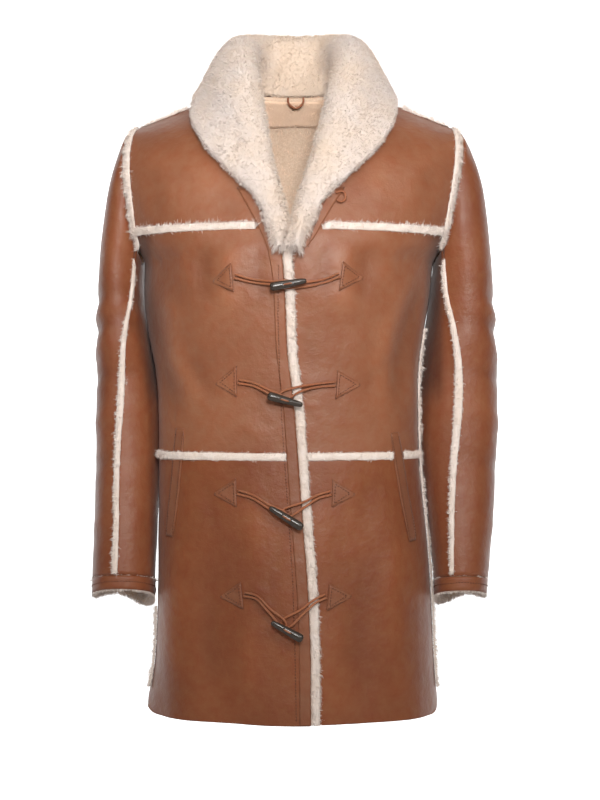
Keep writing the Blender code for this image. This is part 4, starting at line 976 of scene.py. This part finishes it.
def drawn_ends(points):
    """The collar's lower ends drawn in to narrow tufts, and its top edge a little higher."""
    x, y, z = points.T
    share = soft_step((-z - 0.198) / 0.045)
    centre = np.where(x < COLLAR_X, *END_CENTRES)
    rise = 0.0055 * soft_step((z - 0.02) / 0.06)
    return np.column_stack([x + (centre - x) * 0.5 * share, y, z + rise])


def collar_warmth(points):
    """Warm by the neck and in the middle of the collar, cool along its outer and lower edge."""
    x, y, z = points.T
    across = np.abs(x + 0.003) / np.interp(z, *COLLAR_HALF)
    return 0.42 * (1 - across) * soft_step((z + 0.26) / 0.12) + 0.08 * soft_step((y - 0.02) / 0.05)


class COAT_OT_collar(bpy.types.Operator):
    """Shawl collar: its leather side and its long soft wool"""

    bl_idname = "coat.collar"
    bl_label = "Collar"

    def execute(self, context):
        fleece = context.scene.coat_fleece
        skin = smoothed(cage("collar_skin"), "collar_leather", 2)
        leather = new_object("collar_leather", skin, finish("tan_leather"), "leather", ["collar_skin"])
        shape = {"levels": 3, "amount": 0.0013, "size": 0.016, "seed": 3, "level": 0.9}
        base = wool_base("collar_fleece", "collar_wool", **shape)
        points = points_of(base)
        points = points + normals_of(base) * (lumps(points, 0.007, 9) * 0.0006)[:, None]
        set_points(base, drawn_ends(points))
        put_value(base, "warm", collar_warmth(points_of(base)))
        under = tree_of(["collar_leather"])

        def keep(centres, flat):
            rays = ((Vector(start), Vector(way)) for start, way in zip(centres, flat))
            hidden = [under.ray_cast(start, way, SKIN_REACH)[0] is not None for start, way in rays]
            return np.where(hidden, 0.0, 1.0)

        place, normal, rng = scatter(base, fleece.collar_blades, 11, keep)
        x, _, z = place.T
        away = np.column_stack([x * 1.2, np.full_like(x, -0.02), -0.05 - 0.2 * np.abs(x)])
        comb = comb_along(normal, (0, 0, -1)) * 0.6 + unit(away) * 0.4
        edge = soft_step((-z - 0.14) / 0.08)
        tip = soft_step((-z - 0.225) / 0.02)
        length = fleece.collar_length * (1 + 0.6 * edge + 0.9 * tip) * (1 + 0.25 * lumps(place, 0.02, 4))
        lean = (0.36 + 0.44 * tip)[:, None]
        shape = {"width": 0.0006, "lean": lean, "clump": 0.4, "tuft": 26, "root": 0.96}
        wool = wool_mesh("collar_locks", place, normal, comb, length[:, None], rng=rng, **shape)
        put_value(wool, "warm", value_of(wool, "warm") + np.repeat(collar_warmth(place), BLADE))
        made = new_object("collar_wool", base, finish("collar_fleece"), "fleece", ["collar_fleece"])
        locks = new_object("collar_locks", wool, finish("collar_fleece"), "fleece")
        width, long, area = CUTS["collar"]
        return {"FINISHED"}


NECK_LOCKS = {"back_yoke": 9000, "back_body": 7000}  # locks of pile that show in the neck, by panel
FACING_LOCKS, CUFF_LOCKS = 7000, 5500
CUFF_DROP = 0.008  # how far a cuff's wool may hang below the cuff
BEHIND_FROM = -0.03  # y behind which a cuff's wool is longer


def inward_share(node, centres, flat):
    """1 for triangles that face the hollow of a wall, else 0."""
    return np.sum(flat * (wall_centre(node, centres) - centres), axis=1) > 0


def inside_neck(centres, flat):
    """The back's inner side down to where the neck opening hides it, and more on the rim."""
    shown = inward_share("back", centres, flat) * (centres[:, 2] > -0.34) * (centres[:, 1] > 0.02)
    rim = (flat[:, 2] > 0.5) * (np.abs(centres[:, 0]) < 0.08) * (centres[:, 2] > -0.06)
    return shown * 1.0 + rim * 2.5


def pile_on(mesh, name, count, seed, keep, length, behind=0.0, **shape):
    """Short wool that hangs down on the triangles that keep weighs, longer behind by a given length."""
    place, normal, rng = scatter(mesh, count, seed, keep)
    reach = (length + behind * (place[:, 1] > BEHIND_FROM))[:, None]
    return wool_mesh(name, place, normal, comb_along(normal, (0, 0, -1)), reach, rng=rng, **shape)


def cuff_wool(side, seed):
    """The wool that shows inside a cuff and hangs a little below it."""
    band = bpy.data.objects[panel_name(f"cuff_band_{side}")].data

    def inside_cuff(centres, flat):
        return inward_share(f"cuff_{side}", centres, flat) * 1.0 + (flat[:, 2] < -0.6) * 1.5

    name = f"cuff_wool_{side}"
    shape = {"width": 0.0006, "lean": 0.5, "clump": 0.5}
    wool = pile_on(band, name, CUFF_LOCKS, seed, inside_cuff, length=0.0045, behind=0.004, **shape)
    points = points_of(wool)
    points[:, 2] = np.maximum(points[:, 2], points_of(band)[:, 2].min() - CUFF_DROP)
    set_points(wool, points)
    new_object(name, wool, finish("cream_fleece"), "fleece")


class COAT_OT_inner_wool(bpy.types.Operator):
    """Short pile that shows inside the neck and the cuffs, and the facing of the back neck"""

    bl_idname = "coat.inner_wool"
    bl_label = "Inner pile"

    def execute(self, context):
        facing = smoothed(cage("back_neck_facing"), "neck_facing", 2)
        lumpy(facing, lumps(points_of(facing), 0.006, 6), amount=0.0004, level=0.5, spread=0.25)
        shape = {"length": 0.0035, "width": 0.0006, "lean": 0.6, "clump": 0.5}
        pile = pile_on(facing, "facing_pile", FACING_LOCKS, 51, None, **shape)
        facing = join_meshes("neck_facing", [facing, pile])
        new_object("neck_facing", facing, finish("neck_pile"), "suede", ["back_neck_facing"])
        for part, count in NECK_LOCKS.items():
            back = bpy.data.objects[panel_name(part)].data
            shape = {"length": 0.005, "width": 0.0007, "lean": 0.4, "clump": 0.5, "tuft": 26}
            wool = pile_on(back, f"{part}_wool", count, 21, inside_neck, **shape)
            new_object(f"{part}_wool", wool, finish("neck_pile"), "fleece")
        for side, sign in SIDES.items():
            cuff_wool(side, 31 + sign)
        return {"FINISHED"}


# ---------------------------------------------------------------- fastenings

THONG_PLY = 0.00035  # how far a thong stands out past its node, all round
HORN_EYES = (0.36, 0.60)  # where the two eyes lie, as shares of a toggle's length
EYE_RADIUS, EYE_RIM = 0.0015, 0.00045
RIM_TURNS = 14
CORD_RINGS = 9
CORD_WIDE, CORD_HIGH = 0.0011, 0.0008  # half width and half height of the cord between the eyes
CORD_ARCH, CORD_SINK = 0.0009, 0.0006  # how far it bows out, and how deep its ends lie


class COAT_OT_thongs(bpy.types.Operator):
    """Leather thongs of the fastenings, the hanger loop and the loop under the collar"""

    bl_idname = "coat.thongs"
    bl_label = "Thongs and loops"

    def execute(self, context):
        names = [node for node in FRAME["nodes"] if node.startswith("thong_")]
        for node in sorted(names) + ["hanger_loop", "throat_loop"]:
            mesh = smoothed(cage(node, sharp=80), f"leather_{node}", 2)
            points = points_of(mesh)
            if node != "hanger_loop":
                points = points + crease_offsets(node, points)
            set_points(mesh, points + normals_of(mesh) * THONG_PLY)
            new_object(f"leather_{node}", mesh, finish("thong_leather"), "thong", [node])
        return {"FINISHED"}


def toggle_axis(node):
    """The toggle's thick end and thin end, from its points."""
    points = points_of(bpy.data.objects[f"horn_{node}"].data)
    middle = points.mean(axis=0)
    _, _, axes = np.linalg.svd(points - middle, full_matrices=False)
    along = axes[0]
    place = (points - middle) @ along
    spread = np.linalg.norm(points - middle - place[:, None] * along, axis=1)
    if spread[place > 0].max() > spread[place < 0].max():
        along = -along
    place = (points - middle) @ along
    return middle + along * place.min(), middle + along * place.max()


def oval(centre, across, up, wide, high, sides=6):
    """Points round a centre, from its two directions and half widths."""
    turns = [2 * math.pi * k / sides for k in range(sides)]
    return [centre + across * (wide * math.cos(turn)) + up * (high * math.sin(turn)) for turn in turns]


def loft(bm, rings, closed=False):
    """Faces between rings of points, one after the other."""
    rows = [[bm.verts.new(spot) for spot in ring] for ring in rings]
    following = rows[1:] + rows[:1] if closed else rows[1:]
    for first, second in zip(rows, following):
        for j in range(len(first)):
            n = (j + 1) % len(first)
            bm.faces.new((first[j], second[j], second[n], first[n]))
    return rows


def add_rim(bm, centre, across, up, ahead):
    """A small rim round an eye."""
    rings = []
    for k in range(RIM_TURNS):
        angle = 2 * math.pi * k / RIM_TURNS
        outward = across * math.cos(angle) + up * math.sin(angle)
        rings.append(oval(centre + outward * EYE_RADIUS, outward, ahead, EYE_RIM, EYE_RIM))
    loft(bm, rings, closed=True)


def cord_mesh(name, start, end, up, ahead):
    """The thong that shows between a toggle's two eyes."""
    rings = []
    for k in range(CORD_RINGS):
        share = k / (CORD_RINGS - 1)
        arch = math.sin(math.pi * share)
        centre = start.lerp(end, share) + ahead * (arch * CORD_ARCH - CORD_SINK)
        rings.append(oval(centre, up, ahead, CORD_WIDE, CORD_HIGH))
    bm = bmesh.new()
    rows = loft(bm, rings)
    bm.faces.new(rows[0])
    bm.faces.new(rows[-1])
    bmesh.ops.recalc_face_normals(bm, faces=bm.faces)
    mesh = mesh_from(bm, name)
    shade_faces(mesh)
    return mesh


class COAT_OT_toggles(bpy.types.Operator):
    """Horn toggles with two eyes and the thong that runs through them"""

    bl_idname = "coat.toggles"
    bl_label = "Toggles"

    def execute(self, context):
        for number in range(1, 5):
            node = f"toggle_{number}"
            mesh = smoothed(cage(node, sharp=85), f"horn_{node}", 3)
            points = points_of(mesh)
            set_points(mesh, points + crease_offsets(node, points.mean(axis=0, keepdims=True)))
            new_object(f"horn_{node}", mesh, finish("horn"), "horn", [node])
            thick, thin = (Vector(p) for p in toggle_axis(node))
            along = (thin - thick).normalized()
            ahead = Vector((0, -1, 0))
            ahead = (ahead - along * ahead.dot(along)).normalized()
            up = along.cross(ahead)
            surface = tree_of([f"horn_{node}"])
            starts = [thick.lerp(thin, share) + ahead * 0.03 for share in HORN_EYES]
            spots = [surface.ray_cast(start, -ahead)[0] for start in starts]
            rims = bmesh.new()
            for spot in spots:
                add_rim(rims, spot - ahead * 0.0001, along, up, ahead)
            eyes = f"horn_eyes_{number}"
            new_object(eyes, mesh_from(rims, eyes), finish("horn"), "horn")
            cord = cord_mesh(f"toggle_cord_{number}", *spots, up, ahead)
            new_object(f"toggle_cord_{number}", cord, finish("thong_leather"), "thong")
        return {"FINISHED"}


# ---------------------------------------------------------------- stitching

# A stitch from end to end: place as a share of its length, and height over the leather and half thickness
# in millimetres
SPINDLE = (
    (0.0, -0.35, 0.2),
    (0.25, 0.3, 0.6),
    (0.5, 0.45, 0.68),
    (0.75, 0.3, 0.6),
    (1.0, -0.35, 0.2),
)
SPINDLE_SIDES = 5
# Topstitching of the fronts: x and z along each line
FRONT_STITCHES = (
    (
        (-21, -262),
        (-22, -330),
        (-20, -400),
        (-17, -470),
        (-13, -530),
        (-8, -600),
        (-2, -690),
        (1, -780),
        (3, -884),
    ),
    ((50, -158), (34, -190), (23, -222), (19, -240)),
)
PATCH_INSET = 7.0  # how far a patch's stitches lie inside its corners
WELT_INSET, WELT_END = 1.6, 5  # the welt's stitches lie this far inside its edges and its ends
WELT_SHARE = 0.8  # and at this share of the half width that is left
CUFF_STITCH_UP = 12.0  # the stitch line lies this far above the cuff's lower edge
CUFF_TURNS = 161
EDGE_REACH = 0.12  # the cuff's lower edge is looked for within this angle, in radians


def run_of(points):
    """The way along a line of points up to each of them."""
    return np.concatenate([[0], np.cumsum(np.linalg.norm(np.diff(points, axis=0), axis=1))])


def stitch_mesh(name, paths, length, gap):
    """Stitches along paths of points and normals: each a small five-sided spindle sunk at both ends."""
    share, rise, fat = np.array(SPINDLE).T
    rise, fat = rise * MM, fat * MM
    turns = [2 * math.pi * j / SPINDLE_SIDES for j in range(SPINDLE_SIDES)]
    verts, faces = [], []
    for points, normals in paths:
        points, normals = np.array(points), np.array(normals)
        run = run_of(points)
        for start in np.arange(0, run[-1] - length, length + gap):
            at = start + length * share
            line = np.column_stack([np.interp(at, run, points[:, k]) for k in range(3)])
            up = unit(np.column_stack([np.interp(at, run, normals[:, k]) for k in range(3)]))
            beside = unit(np.cross(unit(line[-1:] - line[:1]), up))
            first = len(verts)
            for k in range(len(SPINDLE)):
                for turn in turns:
                    lift = up[k] * (rise[k] + fat[k] * math.sin(turn))
                    verts.append(line[k] + lift + beside[k] * fat[k] * math.cos(turn))
            for ring in range(first, first + (len(SPINDLE) - 1) * SPINDLE_SIDES, SPINDLE_SIDES):
                for j in range(SPINDLE_SIDES):
                    low, high = ring + j, ring + (j + 1) % SPINDLE_SIDES
                    faces.append([low, high, high + SPINDLE_SIDES, low + SPINDLE_SIDES])
    mesh = bpy.data.meshes.new(name)
    mesh.from_pydata(verts, [], faces)
    shade_faces(mesh)
    return mesh


def cast_path(tree, route, step=2.0):
    """A route in x and z laid onto what shows from the front."""
    route = np.array(route, float)
    run = run_of(route)
    at = np.arange(0, run[-1], step)
    points, normals = [], []
    for x, z in zip(np.interp(at, run, route[:, 0]), np.interp(at, run, route[:, 1])):
        hit, normal, _, _ = tree.ray_cast(Vector((x * MM, -0.5, z * MM)), Vector((0, 1, 0)))
        if hit is not None and hit.y < 0.02:
            points.append(hit)
            normals.append(normal if normal.y < 0 else -normal)
    return points, normals


def inset(corners, by):
    """A closed outline moved inwards."""
    corners = np.array(corners, float)
    middle = corners.mean(axis=0)
    return [tuple(c + (middle - c) * by / np.linalg.norm(middle - c)) for c in corners]


def seen_square_on(node):
    """A node's points in x and z, in millimetres."""
    return points_of(FRAME["nodes"][node].data)[:, [0, 2]] / MM


def patch_line(number, side):
    """The stitches of a triangular patch: its apex and its two corners by the thong, moved inwards."""
    points = seen_square_on(f"patch_{number}_{side}")
    apex = points[np.argmax(points[:, 0] * SIDES[side])]
    high, low = points[np.argmax(points[:, 1])], points[np.argmin(points[:, 1])]
    apex, high, low = inset((apex, high, low), PATCH_INSET)
    return high, apex, low, high


def welt_lines(side):
    """The stitches along both edges of a pocket welt."""
    points = seen_square_on(f"pocket_welt_{side}")
    middle = points.mean(axis=0)
    _, _, axes = np.linalg.svd(points - middle, full_matrices=False)
    along, beside = axes[0], axes[1]
    reach = np.abs((points - middle) @ along).max() - WELT_END
    half = np.abs((points - middle) @ beside).max() - WELT_INSET
    for sign in (-1, 1):
        yield [middle + along * reach * k + beside * half * sign * WELT_SHARE for k in (-1, 1)]


def cuff_line(side):
    """A line right round a cuff, parallel to its lower edge."""
    band = bpy.data.objects[panel_name(f"cuff_band_{side}")]
    tree = tree_of([band.name])
    edge = points_of(band.data)
    centre = wall_centre(f"cuff_{side}", np.array([[0, 0, float(edge[:, 2].min())]]))[0]
    points, normals = [], []
    for angle in np.linspace(0, 2 * math.pi, CUFF_TURNS):
        outward = Vector((math.cos(angle), math.sin(angle), 0))
        beside = edge[np.sum((edge - centre)[:, :2] * np.array(outward)[:2], axis=1) > 0.02]
        turn = np.arctan2(beside[:, 1] - centre[1], beside[:, 0] - centre[0])
        near = np.abs((turn - angle + math.pi) % (2 * math.pi) - math.pi) < EDGE_REACH
        low = beside[near][:, 2].min() if near.any() else edge[:, 2].min()
        start = Vector((centre[0], centre[1], low + CUFF_STITCH_UP * MM)) + outward * 0.2
        hit, normal, _, _ = tree.ray_cast(start, -outward)
        if hit is not None:
            points.append(hit)
            normals.append(normal)
    return points, normals


class COAT_OT_stitching(bpy.types.Operator):
    """Stitches along the bands, patches, welts and cuffs"""

    bl_idname = "coat.stitching"
    bl_label = "Stitching"

    def execute(self, context):
        trim = context.scene.coat_trim
        nodes = [panel_name(node) for node in panel_nodes()]
        for start in ("leather_front_band", "leather_patch", "leather_pocket"):
            nodes += [made.name for made in bpy.data.objects if made.name.startswith(start)]
        tree = tree_of(nodes)
        lines = [cast_path(tree, route) for route in FRONT_STITCHES]
        patches = [patch_line(number, side) for number in range(1, 5) for side in SIDES]
        lines += [cast_path(tree, line, 1.0) for line in patches]
        lines += [cast_path(tree, line, 1.5) for side in SIDES for line in welt_lines(side)]
        lines = [line for line in lines if len(line[0]) > 2]
        cuffs = [cuff_line(side) for side in SIDES]
        for name, paths in (("front_stitches", lines), ("cuff_stitches", cuffs)):
            mesh = stitch_mesh(name, paths, trim.stitch, trim.stitch_gap)
            new_object(name, mesh, finish("thread"), "leather")
        return {"FINISHED"}


# ---------------------------------------------------------------- stage

VIEW_CENTRE = (0.0079, 0.0, -0.446)
SENSOR = 36.0
FLOOR_LEVEL = -1.28
FLOOR_HALF, FLOOR_FRONT, FLOOR_BACK = 7.0, -6.0, 1.6
WALL_AT, WALL_TOP = 3.0, 5.0  # the floor sweeps up to a wall
SWEEP_STEPS = 12
GLOW_FROM, GLOW_BLEND = 0.9, 0.3  # behind this depth the backdrop starts to glow white
LIGHT_COLOUR = (1.0, 0.985, 0.965)
WORLD_STRENGTH = 0.08
# Lights: name, place, what it shines at, width and height, the setting of its power, share of that, spread
LIGHTS = (
    ("softbox_right", (1.5, -2.3, 0.8), (0, 0, -0.15), (0.4, 1.3), "key", 1.0, 180),
    ("softbox_left", (-1.45, -2.3, 0.8), (0, 0, -0.15), (0.35, 1.3), "key", 0.68, 180),
    ("top", (0.1, -1.7, 1.6), (0, 0, -0.1), (0.9, 0.6), "top", 1.0, 180),
    ("front", (0.15, -2.5, 0.3), (0, 0, 0.03), (0.5, 0.5), "front", 1.0, 60),
)


def area_light(name, place, target, size, power, spread):
    light = bpy.data.lights.new(name, "AREA")
    light.shape = "RECTANGLE"
    light.size, light.size_y = size
    light.energy = power
    light.color = LIGHT_COLOUR
    light.spread = math.radians(spread)
    holder = bpy.data.objects.new(name, light)
    bpy.context.scene.collection.objects.link(holder)
    holder.location = place
    holder.rotation_euler = (Vector(target) - Vector(place)).to_track_quat("-Z", "Y").to_euler()


def place_camera(scene):
    stage = scene.coat_stage
    camera = bpy.data.cameras.new("camera")
    camera.sensor_width = SENSOR
    camera.lens = SENSOR * stage.camera_distance / stage.view_height
    camera.clip_end = 100
    holder = bpy.data.objects.new("camera", camera)
    scene.collection.objects.link(holder)
    x, y, z = VIEW_CENTRE
    holder.location = (x, y - stage.camera_distance, z)
    holder.rotation_euler = (math.pi / 2, 0, 0)
    scene.camera = holder


def floor_mesh():
    """A floor that sweeps up into a wall."""
    sweep = WALL_AT - FLOOR_BACK
    profile = [(FLOOR_FRONT, 0.0), (FLOOR_BACK, 0.0)]
    for k in range(1, SWEEP_STEPS + 1):
        angle = math.pi / 2 * k / SWEEP_STEPS
        profile.append((FLOOR_BACK + sweep * math.sin(angle), sweep * (1 - math.cos(angle))))
    profile.append((WALL_AT, WALL_TOP))
    verts = [(side * FLOOR_HALF, y, FLOOR_LEVEL + up) for y, up in profile for side in (-1, 1)]
    faces = [(2 * k, 2 * k + 1, 2 * k + 3, 2 * k + 2) for k in range(len(profile) - 1)]
    mesh = bpy.data.meshes.new("floor")
    mesh.from_pydata(verts, [], faces)
    shade_faces(mesh)
    return mesh


def floor_finish(colour):
    """Pale and matt, glowing white behind the coat."""
    look = Finish("floor")
    depth = look.add("SeparateXYZ", Vector=look.place).outputs["Y"]
    glow = look.add("MapRange", Value=depth, From_Min=GLOW_FROM, From_Max=GLOW_FROM + GLOW_BLEND)
    return look.done(
        Base_Color=(*colour, 1),
        Roughness=0.9,
        Emission_Color=(*WHITE, 1),
        Emission_Strength=glow.outputs["Result"],
    )


class COAT_OT_stage(bpy.types.Operator):
    """Camera, pale floor that sweeps up behind, and soft lights"""

    bl_idname = "coat.stage"
    bl_label = "Stage"

    def execute(self, context):
        scene = context.scene
        place_camera(scene)
        scene.view_settings.view_transform = "Standard"
        scene.view_settings.look = "None"
        mesh = floor_mesh()
        mesh.materials.append(floor_finish(scene.coat_stage.floor))
        floor = bpy.data.objects.new("floor", mesh)
        scene.collection.objects.link(floor)
        for name, place, target, size, power, share, spread in LIGHTS:
            area_light(name, place, target, size, getattr(scene.coat_stage, power) * share, spread)
        world = bpy.data.worlds.new("studio")
        world.use_nodes = True
        background = world.node_tree.nodes["Background"]
        background.inputs["Color"].default_value = (*WHITE, 1)
        background.inputs["Strength"].default_value = WORLD_STRENGTH
        scene.world = world
        return {"FINISHED"}


# ---------------------------------------------------------------- add-on


class COAT_PT_parts(bpy.types.Panel):
    """Lists the coat's settings and the steps that build it"""

    bl_idname = "COAT_PT_parts"
    bl_label = "Shearling coat"
    bl_space_type = "VIEW_3D"
    bl_region_type = "UI"
    bl_category = "Coat"

    def draw(self, context):
        for group in (name for name, _ in GROUPS):
            box = self.layout.box()
            settings = getattr(context.scene, group)
            for key in settings.__annotations__:
                box.prop(settings, key)
        for step in STEPS:
            self.layout.operator(step.bl_idname)


GROUPS = (
    ("coat_leather", LeatherSettings),
    ("coat_fleece", FleeceSettings),
    ("coat_trim", TrimSettings),
    ("coat_stage", StageSettings),
)
STEPS = (
    COAT_OT_stage,
    COAT_OT_panels,
    COAT_OT_bands,
    COAT_OT_seam_wool,
    COAT_OT_collar,
    COAT_OT_inner_wool,
    COAT_OT_thongs,
    COAT_OT_toggles,
    COAT_OT_stitching,
)


def register():
    for name, group in GROUPS:
        bpy.utils.register_class(group)
        setattr(bpy.types.Scene, name, bpy.props.PointerProperty(type=group))
    for step in (*STEPS, COAT_PT_parts):
        bpy.utils.register_class(step)


def unregister():
    for step in reversed((*STEPS, COAT_PT_parts)):
        bpy.utils.unregister_class(step)
    for name, group in reversed(GROUPS):
        delattr(bpy.types.Scene, name)
        bpy.utils.unregister_class(group)


def main():
    register()
    for step in STEPS:
        group, name = step.bl_idname.split(".")
        getattr(getattr(bpy.ops, group), name)()


if __name__ == "__main__":
    main()
